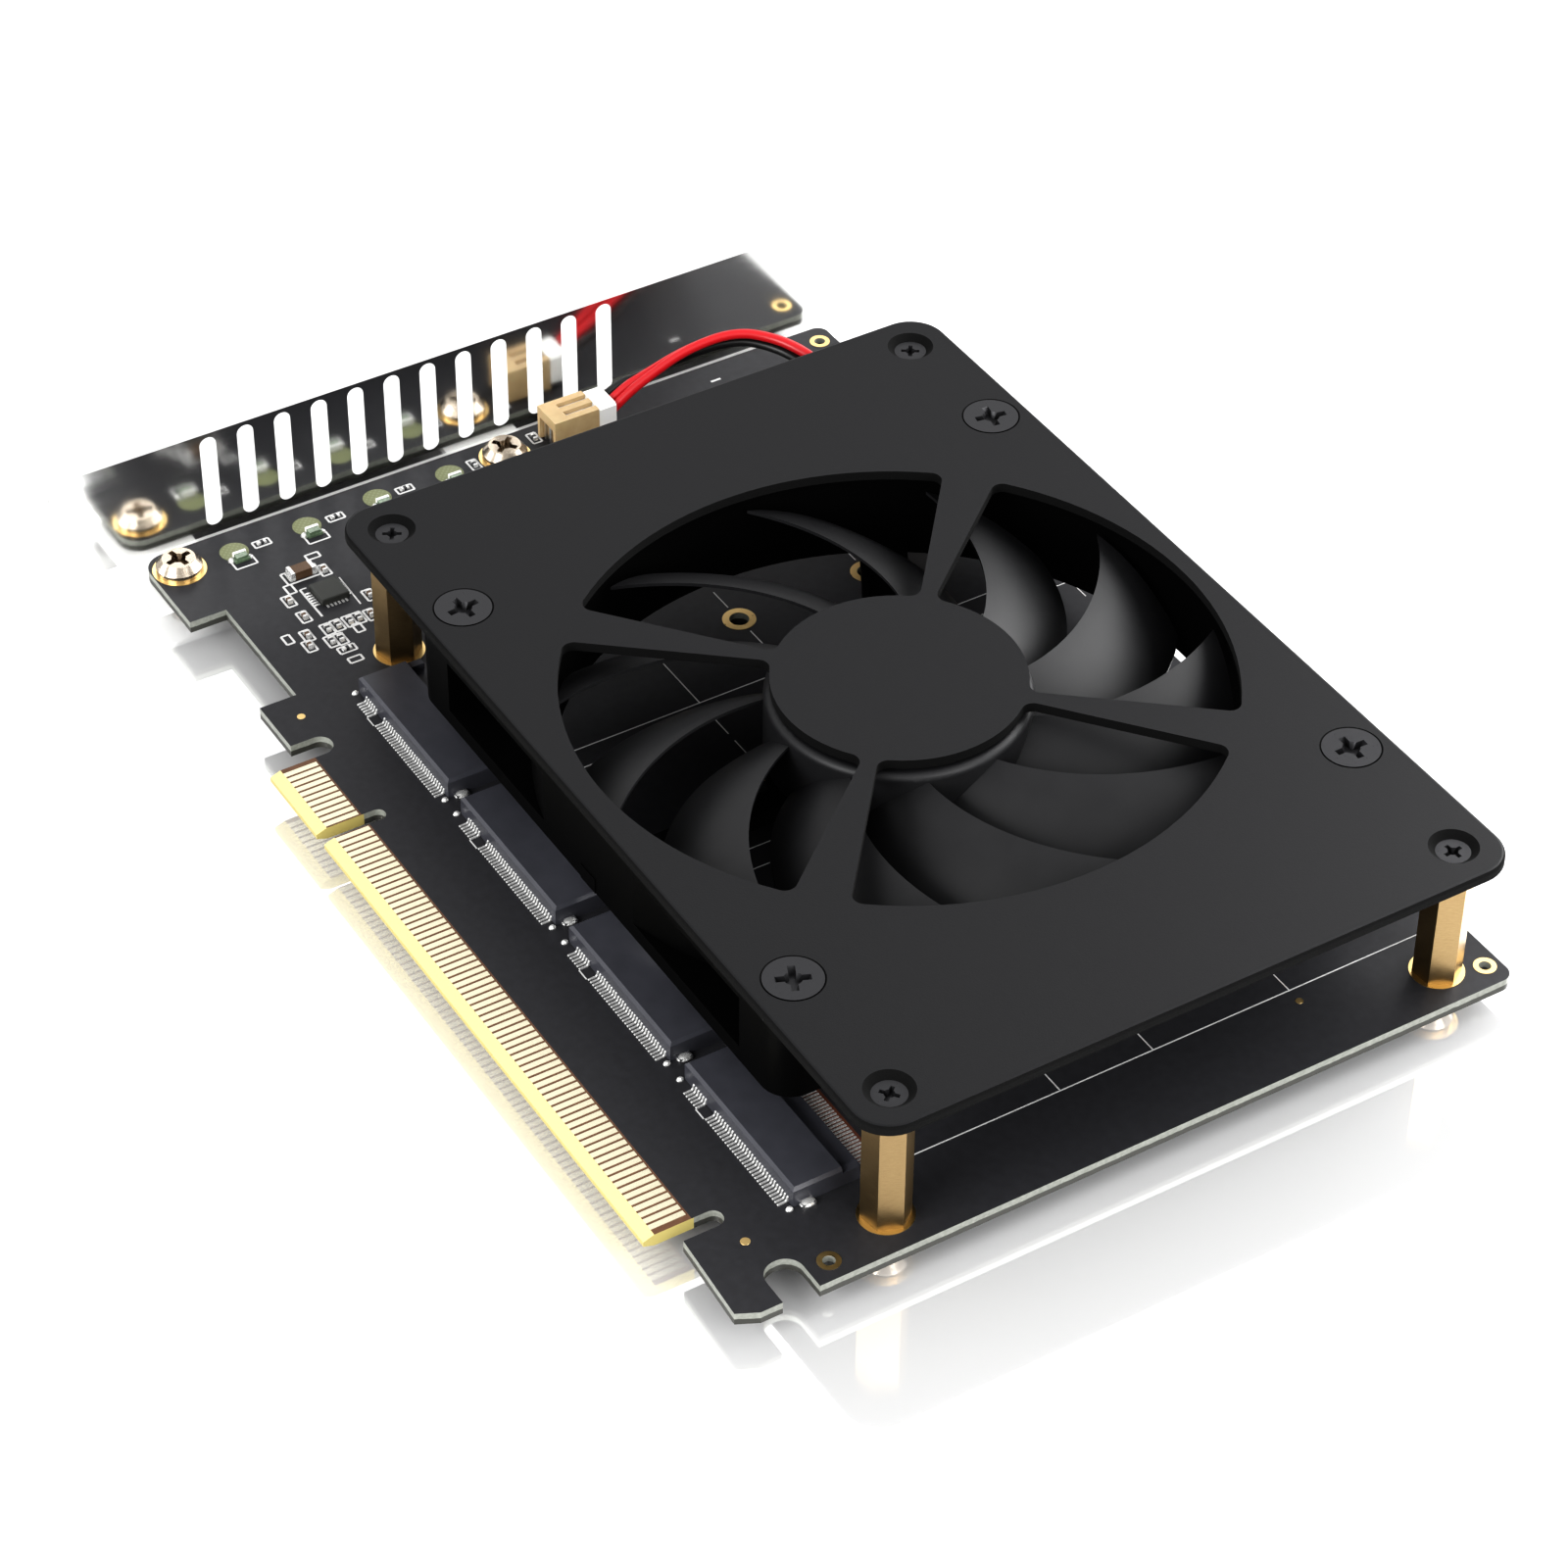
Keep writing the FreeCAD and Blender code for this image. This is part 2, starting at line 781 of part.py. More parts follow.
def cover_plate():
    """Flat cover with four air windows, eight screw seats and a soft upper edge."""
    plate = slab(
        squared(plate_left, plate_right, plate_low, plate_high, plate_corner),
        plate_under, plate_top,
    )
    rim = [e for e in plate.Edges if abs(e.CenterOfMass.z - plate_top) < 1e-3]
    plate = plate.makeFillet(plate_edge_round, rim)
    cuts = [sector_window(90.0 * k) for k in range(4)]
    for x, y in standoff_spots:
        cuts.append(cone(x, y, plate_under, plate_top, dimple_low_r, plate_dimple_r))
    for x, y in fan_hole_spots:
        cuts.append(cone(
            x, y, plate_under, plate_top,
            fan_screw_r + fan_screw_gap, fan_screw_head_r + fan_screw_gap,
        ))
    return plate.cut(Part.makeCompound(cuts))


def plate_screws():
    """Small countersunk screws through the cover into the standoffs."""
    screw = flat_screw(
        plate_screw_head_r, plate_screw_neck_r, plate_screw_head_h,
        standoff_bore - thread_clear, plate_screw_length, plate_screw_head_h * 1.6,
    )
    return [
        moved(turned(screw, 0, 0, turn), x, y, plate_top - plate_screw_sink)
        for (x, y), turn in zip(standoff_spots, plate_screw_turns)
    ]


def fan_screws():
    """Countersunk screws through the cover into the fan's corners."""
    screw = flat_screw(
        fan_screw_head_r, fan_screw_r, plate_thick, fan_screw_r, fan_screw_length,
        plate_thick * 0.75,
    )
    return [
        moved(turned(screw, 0, 0, turn), x, y, plate_top)
        for (x, y), turn in zip(fan_hole_spots, fan_screw_turns)
    ]


def fan_square(low, high):
    half = fan_size / 2
    return slab(
        squared(fan_x - half, fan_x + half, fan_y - half, fan_y + half, fan_corner), low, high
    )


def fan_frame():
    """Moulded fan frame: flanges, duct, corner posts, struts and motor seat."""
    low_flange = fan_low + fan_flange_low
    bore = disc(fan_x, fan_y, fan_low, fan_top, duct_r)
    flanges = fan_square(fan_low, low_flange)
    flanges = flanges.fuse(fan_square(fan_top - fan_flange_top, fan_top))
    duct = disc(fan_x, fan_y, fan_low, fan_top, duct_r + duct_wall)
    body = flanges.fuse(duct.common(fan_square(fan_low, fan_top)))
    half = fan_size / 2
    posts = []
    for sx in (-1, 1):
        for sy in (-1, 1):
            inner_x = fan_x + sx * (half - post_size)
            outer_x = fan_x + sx * half
            inner_y = fan_y + sy * (half - post_size)
            outer_y = fan_y + sy * half
            posts.append(block(
                min(inner_x, outer_x), max(inner_x, outer_x),
                min(inner_y, outer_y), max(inner_y, outer_y), fan_low, fan_top,
            ))
    corners = Part.makeCompound(posts).common(fan_square(fan_low, fan_top))
    body = body.multiFuse(corners.Solids).cut(bore)
    struts = []
    for angle in strut_angles:
        width = lead_strut_width if angle == lead_strut else strut_width
        strut = block(
            fan_x + motor_base_r - 1.0, fan_x + duct_r + duct_wall / 2,
            fan_y - width / 2, fan_y + width / 2, fan_low, low_flange,
        )
        if angle == lead_strut:
            strut = strut.cut(block(
                fan_x + tube_r + 4.0, fan_x + duct_r + duct_wall,
                fan_y - width / 2 + lead_channel_wall, fan_y + width / 2 - lead_channel_wall,
                fan_low + motor_base_thick, low_flange,
            ))
        struts.append(turned(strut, fan_x, fan_y, angle))
    struts.append(disc(fan_x, fan_y, fan_low, fan_low + motor_base_thick, motor_base_r))
    struts.append(disc(fan_x, fan_y, fan_low, bearing_top, tube_r))
    reach = duct_r + duct_wall
    exit_block = block(
        fan_x + reach - 0.8, fan_x + lead_end_r, fan_y - lead_strut_width / 2,
        fan_y + lead_strut_width / 2, fan_low, lead_end_z + lead_exit_roof,
    )
    struts.append(turned(exit_block, fan_x, fan_y, lead_strut))
    body = body.multiFuse(struts)
    cuts = [disc(x, y, fan_top - fan_screw_length, fan_top, fan_screw_r + thread_clear)
            for x, y in fan_hole_spots]
    cuts.append(disc(fan_x, fan_y, sleeve_low, bearing_top, sleeve_r + fixed_gap))
    cuts.append(disc(fan_x, fan_y, fan_low + 0.6, sleeve_low, shaft_r + 0.6))
    return body.cut(Part.makeCompound(cuts)).removeSplitter()


def blade_section(r, k):
    """Curved blade profile on the plane at distance r from the fan's axis."""
    share = (r - hub_r) / (blade_tip_r - hub_r)
    span = blade_span_hub + (blade_span_tip - blade_span_hub) * share
    lead = blade_tip_angle + 360.0 / blade_count * k - blade_lean * (blade_tip_r - r)
    middle = math.radians(lead - span / 2)
    reach = r * math.tan(math.radians(span / 2))
    top = fan_top - blade_top_gap
    low = fan_low + blade_low_gap
    belly = low + blade_belly * (top - low)
    outward = V(math.cos(middle), math.sin(middle), 0)
    along = V(-math.sin(middle), math.cos(middle), 0)
    centre = V(fan_x, fan_y, 0) + outward * r
    edge = blade_edge / 2
    body = blade_thick / 2

    def at(t, z):
        return centre + along * t + V(0, 0, z)

    trail_top, lead_top = at(-reach, low + edge), at(reach, top + edge)
    trail_low, lead_low = at(-reach, low - edge), at(reach, top - edge)
    return Part.Wire([
        Part.Arc(trail_top, at(0, belly + body), lead_top).toShape(),
        Part.LineSegment(lead_top, lead_low).toShape(),
        Part.Arc(lead_low, at(0, belly - body), trail_low).toShape(),
        Part.LineSegment(trail_low, trail_top).toShape(),
    ])


def fan_rotor():
    """Hub cup with its shaft boss and swept, twisted blades."""
    cup = disc(fan_x, fan_y, hub_low, hub_top, hub_r)
    rim = [e for e in cup.Edges if abs(e.CenterOfMass.z - hub_top) < 1e-3 and e.Closed]
    cup = cup.makeFillet(hub_round, rim)
    cup = cup.cut(disc(fan_x, fan_y, hub_low, hub_top - hub_roof, hub_r - hub_wall))
    boss_low = bearing_top + hub_boss_gap
    cup = cup.fuse(disc(fan_x, fan_y, boss_low, hub_top - hub_roof, shaft_r * 2))
    band = ring(
        fan_x, fan_y, fan_low, fan_top, blade_tip_r, hub_r - hub_wall / 2
    )
    reach = blade_tip_r - hub_r
    radii = [hub_r - 2.2] + [hub_r + reach * share for share in blade_stations]
    radii.append(blade_tip_r + 1.5)
    blades = []
    for k in range(blade_count):
        wires = [blade_section(r, k) for r in radii]
        blades.append(Part.makeLoft(wires, True, False).common(band))
    rotor = cup.multiFuse(blades)
    return rotor.cut(disc(fan_x, fan_y, boss_low, hub_top - shaft_seat, shaft_r + fixed_gap))


def rotor_yoke():
    return ring(fan_x, fan_y, hub_low, hub_top - hub_roof - fixed_gap, yoke_r, yoke_r - yoke_wall)


def rotor_magnet():
    return ring(
        fan_x, fan_y, hub_low + 0.2, hub_top - hub_roof - 1.2, magnet_r, magnet_r - magnet_wall
    )


def fan_shaft():
    shaft = disc(fan_x, fan_y, fan_low + 0.8, hub_top - shaft_seat - fixed_gap, shaft_r)
    rim = [e for e in shaft.Edges if e.Closed]
    return shaft.makeChamfer(0.25, rim)


def shaft_clip():
    """Split washer that keeps the shaft in its sleeve."""
    clip_low = sleeve_low - 0.55
    return ring(fan_x, fan_y, clip_low, clip_low + 0.3, shaft_r + 0.45, shaft_r + fixed_gap)


def bearing_sleeve():
    return ring(fan_x, fan_y, sleeve_low, bearing_top, sleeve_r, shaft_r + running_gap)


def stator_arms():
    """Angles of the stator's four poles."""
    return [45.0 + 90.0 * k for k in range(4)]


def stator_core():
    """Laminated core: a ring on the tube, four arms and four pole shoes."""
    yoke_out = tube_r + stator_yoke_wall
    yoke = ring(fan_x, fan_y, stator_low, stator_top, yoke_out, tube_r + fixed_gap)
    shoes = ring(fan_x, fan_y, stator_low, stator_top, stator_r, stator_r - stator_shoe)
    gaps = []
    for angle in stator_arms():
        gap = block(
            fan_x, fan_x + stator_r + 1, fan_y - stator_shoe_gap / 2,
            fan_y + stator_shoe_gap / 2, stator_low, stator_top,
        )
        gaps.append(turned(gap, fan_x, fan_y, angle + 45.0))
    shoes = shoes.cut(Part.makeCompound(gaps))
    arms = [
        turned(
            block(fan_x + tube_r + stator_yoke_wall / 2, fan_x + stator_r - stator_shoe / 2,
                  fan_y - stator_arm / 2, fan_y + stator_arm / 2, stator_low, stator_top),
            fan_x, fan_y, angle,
        )
        for angle in stator_arms()
    ]
    return joined([yoke] + arms + shoes.Solids)


def stator_coils():
    """One winding round each stator arm."""
    coils = []
    for angle in stator_arms():
        inner = fan_x + tube_r + stator_yoke_wall + coil_inset
        outer = fan_x + stator_r - stator_shoe - coil_inset
        half = stator_arm / 2 + coil_gap
        wound = block(
            inner, outer, fan_y - half - coil_wall, fan_y + half + coil_wall,
            stator_low - coil_gap - coil_wall, stator_top + coil_gap + coil_wall,
        )
        wound = wound.makeFillet(coil_round, [
            e for e in wound.Edges if abs(e.tangentAt(e.FirstParameter).x) > 0.99
        ])
        core = block(
            inner, outer, fan_y - half, fan_y + half,
            stator_low - coil_gap, stator_top + coil_gap,
        )
        coils.append(turned(wound.cut(core), fan_x, fan_y, angle))
    return coils


def fan_circuit():
    edge = motor_base_r - circuit_inset
    return ring(fan_x, fan_y, circuit_low, circuit_top, edge, tube_r + circuit_gap)


def header_pin_spots():
    """Where the header's pins go through the board."""
    return [(header_middle + lead_pitch * k, header_y + header_pin_inset) for k in (-1, 0, 1)]


def fan_header():
    """Side-entry header: a shell open towards +Y, with roof slots over the plug."""
    inner_left = header_x + header_wall
    inner_right = header_right - header_wall
    roof_low = header_height - header_wall
    shell = block(header_x, header_right, header_y, header_front, 0, header_height)
    pocket = block(
        inner_left, inner_right, header_y + header_back, header_front, header_wall, roof_low
    )
    half = header_slot_width / 2
    roof_slots = [
        block(middle - half, middle + half,
              header_front - header_slot_length, header_front, roof_low, header_height)
        for middle in (header_middle - header_slot_offset, header_middle + header_slot_offset)
    ]
    back = block(
        inner_left, inner_right, header_y, header_y + header_recess_depth,
        0, header_recess_height,
    )
    half = header_pin / 2 + pin_gap
    tails = [
        block(x - half, x + half, header_y + header_recess_depth, header_y + header_back,
              lead_exit_z - half, lead_exit_z + half)
        for x, _ in header_pin_spots()
    ]
    return shell.cut(Part.makeCompound([pocket, back] + roof_slots + tails))


def header_pins():
    """Bent pins: along the header's pocket, then down through the board."""
    pins = []
    half = header_pin / 2
    for x, y in header_pin_spots():
        flat = block(x - half, x + half, y - half, y + header_pin_length,
                     lead_exit_z - half, lead_exit_z + half)
        drop = block(x - half, x + half, y - half, y + half,
                     board_under - 0.8, lead_exit_z + half)
        pins.append(flat.fuse(drop).removeSplitter())
    return pins


def wire_plug():
    """Crimp housing: a nose inside the header and a wider collar outside it."""
    inset = header_wall + plug_slack
    nose_back = header_y + header_back + 0.2
    collar_back = header_front + 0.05
    collar_front = header_front + plug_reach
    nose = block(
        header_x + inset, header_right - inset, nose_back, collar_back + 0.5,
        inset, header_height - inset,
    )
    collar = block(
        header_x + 0.05, header_right - 0.05, collar_back, collar_front, plug_low, plug_height
    )
    collar = collar.makeChamfer(plug_edge, [
        e for e in collar.Edges if abs(e.tangentAt(e.FirstParameter).y) > 0.99
    ])
    bores = [block(
        header_middle - lead_pitch - lead_r - 0.07, header_middle + lead_pitch + lead_r + 0.07,
        collar_front - plug_bore_depth, collar_front,
        plug_bore_low, plug_height - plug_roof,
    )]
    half = header_pin / 2 + 0.05
    for x, y in header_pin_spots():
        bores.append(block(x - half, x + half, nose_back, y + header_pin_length + 0.2,
                           lead_exit_z - half, lead_exit_z + half))
    return nose.fuse(collar).cut(Part.makeCompound(bores)).removeSplitter()


def lead_route(points, name):
    """Tube along straight runs joined by tangent arcs, each as large as fits."""
    spots = [V(*p) for p in points]
    edges = []
    length = 0.0
    radii = []
    start = spots[0]
    for i in range(1, len(spots) - 1):
        here = spots[i]
        back = spots[i - 1] - here
        on = spots[i + 1] - here
        run = 0.45 * min(back.Length, on.Length)
        back.normalize()
        on.normalize()
        half = back.getAngle(on) / 2
        radius = run * math.tan(half)
        radii.append(round(radius, 1))
        middle = (back + on).normalize()
        enter = here + back * run
        leave = here + on * run
        crown = here + middle * (radius / math.sin(half) - radius)
        edges.append(Part.LineSegment(start, enter).toShape())
        edges.append(Part.Arc(enter, crown, leave).toShape())
        start = leave
    edges.append(Part.LineSegment(start, spots[-1]).toShape())
    path = Part.Wire(edges)
    for edge in edges:
        length += edge.Length
    first = (spots[1] - spots[0]).normalize()
    section = Part.Wire([Part.makeCircle(lead_r, spots[0], first)])
    tube = path.makePipeShell([section], True, True)
    share = tube.Volume / (math.pi * lead_r ** 2 * length)
    print(name, "radii", radii, "length", round(length, 1), "volume share", round(share, 4))
    return tube


def lead_points(side, bends):
    """Route of one lead: start in the plug, its bends, and the run into the fan."""
    a = math.radians(lead_strut)
    points = [(header_middle + lead_pitch * side, header_front + plug_reach - lead_in_plug,
               lead_exit_z)]
    points += bends
    for reach in (lead_end_r + lead_end_gap + lead_end_run, lead_end_r + lead_end_gap):
        across = -lead_pitch * side
        points.append((
            fan_x + reach * math.cos(a) - across * math.sin(a),
            fan_y + reach * math.sin(a) + across * math.cos(a),
            lead_end_z,
        ))
    return points


def controller():
    """Small square controller package near the bracket end."""
    dx, dy = controller_width / 2, controller_depth / 2
    body = block(controller_x - dx, controller_x + dx, controller_y - dy, controller_y + dy,
                 0, controller_height)
    rim = [e for e in body.Edges if abs(e.CenterOfMass.z - controller_height) < 1e-3]
    return body.makeChamfer(controller_edge, rim)


def chips(spots, long_side, short_side, height):
    """Two-terminal chips; each spot is x, y and whether it lies along Y."""
    pieces = []
    for x, y, along_y in spots:
        dx, dy = (short_side, long_side) if along_y else (long_side, short_side)
        pieces.append(block(x - dx / 2, x + dx / 2, y - dy / 2, y + dy / 2, 0, height))
    return pieces


def status_leds():
    """Small lamps along the bracket: a base with a narrower lens."""
    pieces = []
    dx, dy = led_width / 2, led_length / 2
    for x, y in led_spots:
        base = block(x - dx, x + dx, y - dy, y + dy, 0, led_base)
        lens = block(x - dx + 0.1, x + dx - 0.1, y - dy + led_lens, y + dy - led_lens,
                     led_base, led_height)
        pieces.append(base.fuse(lens))
    return pieces


def main():
    os.makedirs("parts", exist_ok=True)
    save("circuit_board", [circuit_board()])
    save("edge_contacts", edge_contacts())
    save("plated_lands", plated_lands())
    save("io_bracket", [io_bracket()])
    save("bracket_screws", bracket_screws())
    for number, x in enumerate(drive_xs, 1):
        save("drive_socket_%d" % number, [socket_housing(x)])
    save("socket_clips", socket_clips())
    save("standoffs", standoffs())
    save("standoff_screws", standoff_screws())
    save("cover_plate", [cover_plate()])
    save("plate_screws", plate_screws())
    save("fan_screws", fan_screws())
    save("fan_frame", [fan_frame()])
    save("fan_rotor", [fan_rotor()])
    save("rotor_yoke", [rotor_yoke()])
    save("rotor_magnet", [rotor_magnet()])
    save("fan_shaft", [fan_shaft()])
    save("shaft_clip", [shaft_clip()])
    save("bearing_sleeve", [bearing_sleeve()])
    save("stator_core", [stator_core()])
    save("stator_coils", stator_coils())
    save("fan_circuit", [fan_circuit()])
    save("fan_header", [fan_header()])
    save("header_pins", header_pins())
    save("wire_plug", [wire_plug()])
    for name, side, bends in (
        ("lead_black", lead_black_side, lead_black_bends),
        ("lead_red_left", lead_left_side, lead_left_bends),
        ("lead_red_right", lead_right_side, lead_right_bends),
    ):
        save(name, [lead_route(lead_points(side, bends), name)])
    save("controller_chip", [controller()])
    capacitors = chips(large_capacitor_spots, *large_capacitor_size)
    capacitors += chips(capacitor_spots, chip_length, chip_width, capacitor_height)
    save("chip_capacitors", capacitors)
    save("chip_resistors", chips(resistor_spots, chip_length, chip_width, resistor_height))
    save("status_leds", status_leds())


main()
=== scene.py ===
# %% [markdown]
# # Dressing a drive adapter card
# The solids of the card come from CAD and stay where they are. This script gives them
# their finishes and adds what is too fine for CAD: solder pins, printed marks, the
# chips' end caps and the fan's leads. Each step says what the real thing is, and why
# it is made this way.

import math

import bmesh
import bpy
from mathutils import Matrix, Vector


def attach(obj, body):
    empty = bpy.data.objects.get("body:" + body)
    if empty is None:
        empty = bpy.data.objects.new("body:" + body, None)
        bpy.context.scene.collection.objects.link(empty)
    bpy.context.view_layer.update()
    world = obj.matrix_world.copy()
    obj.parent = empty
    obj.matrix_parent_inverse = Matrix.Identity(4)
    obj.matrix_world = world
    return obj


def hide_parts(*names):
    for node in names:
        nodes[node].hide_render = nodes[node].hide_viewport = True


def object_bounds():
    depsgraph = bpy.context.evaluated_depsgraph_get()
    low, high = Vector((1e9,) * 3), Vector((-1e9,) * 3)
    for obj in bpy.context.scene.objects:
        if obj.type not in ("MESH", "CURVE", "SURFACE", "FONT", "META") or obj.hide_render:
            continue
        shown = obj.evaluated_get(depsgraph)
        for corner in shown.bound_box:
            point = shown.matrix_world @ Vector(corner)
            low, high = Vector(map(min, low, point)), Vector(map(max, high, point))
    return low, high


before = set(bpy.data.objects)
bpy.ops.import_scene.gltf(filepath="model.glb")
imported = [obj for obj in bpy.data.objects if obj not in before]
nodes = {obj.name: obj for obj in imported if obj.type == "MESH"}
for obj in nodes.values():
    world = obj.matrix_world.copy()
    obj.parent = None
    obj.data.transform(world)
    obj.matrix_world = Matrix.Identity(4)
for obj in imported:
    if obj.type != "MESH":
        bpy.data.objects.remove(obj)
cad_low, cad_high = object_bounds()
print("CAD pieces:", len(nodes))

# %% [markdown]
# ## Places on the card
# The board is easiest to think of in millimetres from its key notch, with zero height
# on its component side. The frame has another origin, so one helper turns card
# millimetres into frame metres, and the shift is written once.

# %% From card millimetres to the frame
MM = 0.001
CARD_SHIFT = Vector((-9.085, -44.79, 4.55))


def on_card(x, y, z=0.0):
    """Point of the frame, in metres, for card millimetres."""
    return (Vector((x, y, z)) + CARD_SHIFT) * MM


fan_middle = on_card(27.8, 59.1)
print("fan axis:", [round(v, 4) for v in fan_middle])

# %% [markdown]
# ## The camera
# A real product photo is taken with a lens of fixed length from a fixed place. The
# camera here stands where the photo's perspective puts it, so that straight edges run
# together in the same way. Its turn is given as a matrix, because the three axes come
# straight from that solution.

# %% Camera
CAMERA_PLACE = (350.015, -155.080, 334.515)
FOCAL_LENGTH, SENSOR_WIDTH = 103.14, 36.0
azimuth, elevation, roll = (math.radians(turn) for turn in (58.273, 40.689, 0.499))
back = Vector((
    math.sin(azimuth) * math.cos(elevation),
    -math.cos(azimuth) * math.cos(elevation),
    math.sin(elevation),
))
level_right = Vector((math.cos(azimuth), math.sin(azimuth), 0))
level_up = back.cross(level_right)
right = math.cos(roll) * level_right + math.sin(roll) * level_up
up = math.cos(roll) * level_up - math.sin(roll) * level_right

lens = bpy.data.cameras.new("camera")
lens.lens = FOCAL_LENGTH
lens.sensor_width = SENSOR_WIDTH
lens.clip_start = 0.01
camera = bpy.data.objects.new("camera", lens)
camera.matrix_world = (
    Matrix.Translation(on_card(*CAMERA_PLACE))
    @ Matrix((right, up, back)).transposed().to_4x4()
)
bpy.context.scene.collection.objects.link(camera)
bpy.context.scene.camera = camera
print("camera at", [round(v, 3) for v in camera.location])

# %% [markdown]
# ## Node arithmetic
# Node trees are hard to read as lists of links. A small class wraps a socket and
# overloads the arithmetic signs, so that an expression such as `1 - grain * 0.3` adds
# its own Math nodes. A second class holds any tree and the one general way to add a
# node to it. Materials and Geometry Nodes trees both build on it.

# %% Signals and trees
class Signal:
    """A socket that takes part in arithmetic."""

    def __init__(self, owner, socket):
        self.owner = owner
        self.socket = socket

    def _math(self, operation, first, second=0.0):
        return self.owner.add("ShaderNodeMath", {"operation": operation}, {0: first, 1: second})

    def __add__(self, other):
        return self._math("ADD", self, other)

    __radd__ = __add__

    def __sub__(self, other):
        return self._math("SUBTRACT", self, other)

    def __rsub__(self, other):
        return self._math("SUBTRACT", other, self)

    def __mul__(self, other):
        return self._math("MULTIPLY", self, other)

    __rmul__ = __mul__

    def over(self, edge):
        return self._math("GREATER_THAN", self, edge)

    def under(self, edge):
        return self._math("LESS_THAN", self, edge)

    def size(self):
        return self._math("ABSOLUTE", self)

    def wave(self):
        return self._math("SINE", self)


class NodeTree:
    """A node tree and one way to add any node to it."""

    def add(self, kind, settings=None, feeds=None, out=0):
        """Adds a node: its settings first, then the values or links of its sockets."""
        node = self.tree.nodes.new(kind)
        for key, value in (settings or {}).items():
            setattr(node, key, value)
        for key, value in (feeds or {}).items():
            self.feed(node.inputs[key], value)
        return Signal(self, node.outputs[out])

    def feed(self, socket, value):
        if isinstance(value, Signal):
            self.tree.links.new(value.socket, socket)
        else:
            socket.default_value = value


class Finish(NodeTree):
    """One material: a Principled shader and short ways to feed it."""

    def __init__(self, name, color, roughness=0.5, metallic=0.0, **sockets):
        self.material = bpy.data.materials.new(name)
        self.material.use_nodes = True
        self.tree = self.material.node_tree
        self.shader = self.tree.nodes["Principled BSDF"]
        self.put("Base Color", tuple(color) + (1.0,))
        self.put("Roughness", roughness)
        self.put("Metallic", metallic)
        for socket, value in sockets.items():
            self.put(socket.replace("_", " "), value)
        self.place = self.add("ShaderNodeTexCoord", out="Object")

    def put(self, socket, value):
        self.feed(self.shader.inputs[socket], value)

    def noise(self, per_metre, detail=2.0, rough=0.5, place=None):
        return self.add(
            "ShaderNodeTexNoise", None,
            {"Vector": place or self.place, "Scale": per_metre, "Detail": detail,
             "Roughness": rough},
        )

    def stretched(self, x, y, z):
        """The place on the object, scaled along its axes."""
        return self.add("ShaderNodeMapping", None, {"Vector": self.place, "Scale": (x, y, z)})

    def axis(self, name, vector=None):
        """One coordinate of a vector, by default of the place on the object."""
        return self.add("ShaderNodeSeparateXYZ", None, {0: vector or self.place}, out=name)

    def mixed(self, share, low, high):
        """Colour mix; low and high are colours or signals."""
        low, high = (v if isinstance(v, Signal) else tuple(v) + (1.0,) for v in (low, high))
        return self.add("ShaderNodeMix", {"data_type": "RGBA"}, {0: share, 6: low, 7: high}, out=2)

    def shade(self, share, low, high):
        """Base colour between two shades, by a share that varies over the piece."""
        self.put("Base Color", self.mixed(share, low, high))

    def facing(self, name):
        """How far the surface faces along an axis of the object."""
        return self.axis(name, self.add("ShaderNodeTexCoord", out="Normal"))

    def bump(self, height, depth_mm, strength=1.0):
        self.put("Normal", self.add(
            "ShaderNodeBump", None,
            {"Height": height, "Strength": strength, "Distance": depth_mm * MM},
        ))


def paint(finish, *names):
    """Gives CAD pieces a finish in place of their plain one."""
    for name in names:
        slots = nodes[name].data.materials
        slots.clear()
        slots.append(finish.material)


# %% [markdown]
# ## The fan's leads
# Three thin insulated wires leave the plug, rise in an arch beside the cover and dive
# under it to the fan. A wire is a smooth curve with a round section, so each one is a
# NURBS spline through a few control points, the same that the solids follow.

# %% Leads
LEAD_R = 0.63
lead_routes = {
    "black": (
        (-53.02, 65.6, 2.2), (-52.98, 68.6, 4.5), (-52.35, 72.0, 5.1), (-50.66, 77.66, 7.28),
        (-48.46, 83.56, 8.89), (-44.9, 87.4, 8.37), (-40.55, 89.1, 7.8), (-34.2, 89.7, 6.6),
        (-27.4, 87.7, 7.7), (-16.94, 83.41, 9.2), (-10.444, 79.657, 9.2),
    ),
    "red_left": (
        (-51.7, 65.6, 2.2), (-51.64, 68.6, 4.6), (-51.25, 71.8, 5.9), (-50.16, 77.36, 8.53),
        (-48.26, 83.36, 10.23), (-44.95, 87.45, 9.75), (-40.9, 89.8, 8.95), (-34.1, 91.1, 7.5),
        (-26.9, 89.1, 7.3), (-16.28, 84.55, 9.2), (-9.784, 80.8, 9.2),
    ),
    "red_right": (
        (-50.38, 65.6, 2.2), (-50.3, 68.6, 4.6), (-50.0, 71.6, 6.4), (-49.2, 76.8, 9.3),
        (-47.3, 82.8, 11.0), (-44.2, 86.6, 10.5), (-40.5, 88.7, 9.9), (-34.0, 90.6, 9.2),
        (-26.5, 90.0, 9.0), (-15.624, 85.693, 9.2), (-9.124, 81.943, 9.2),
    ),
}
red_finish = Finish("red_insulation", (0.47, 0.014, 0.020), 0.34)
red_finish.bump(red_finish.noise(1800.0, 3.0), 0.01, 0.4)
dark_finish = Finish("black_insulation", (0.014, 0.014, 0.014), 0.4)
dark_finish.bump(dark_finish.noise(1800.0, 3.0), 0.01, 0.4)


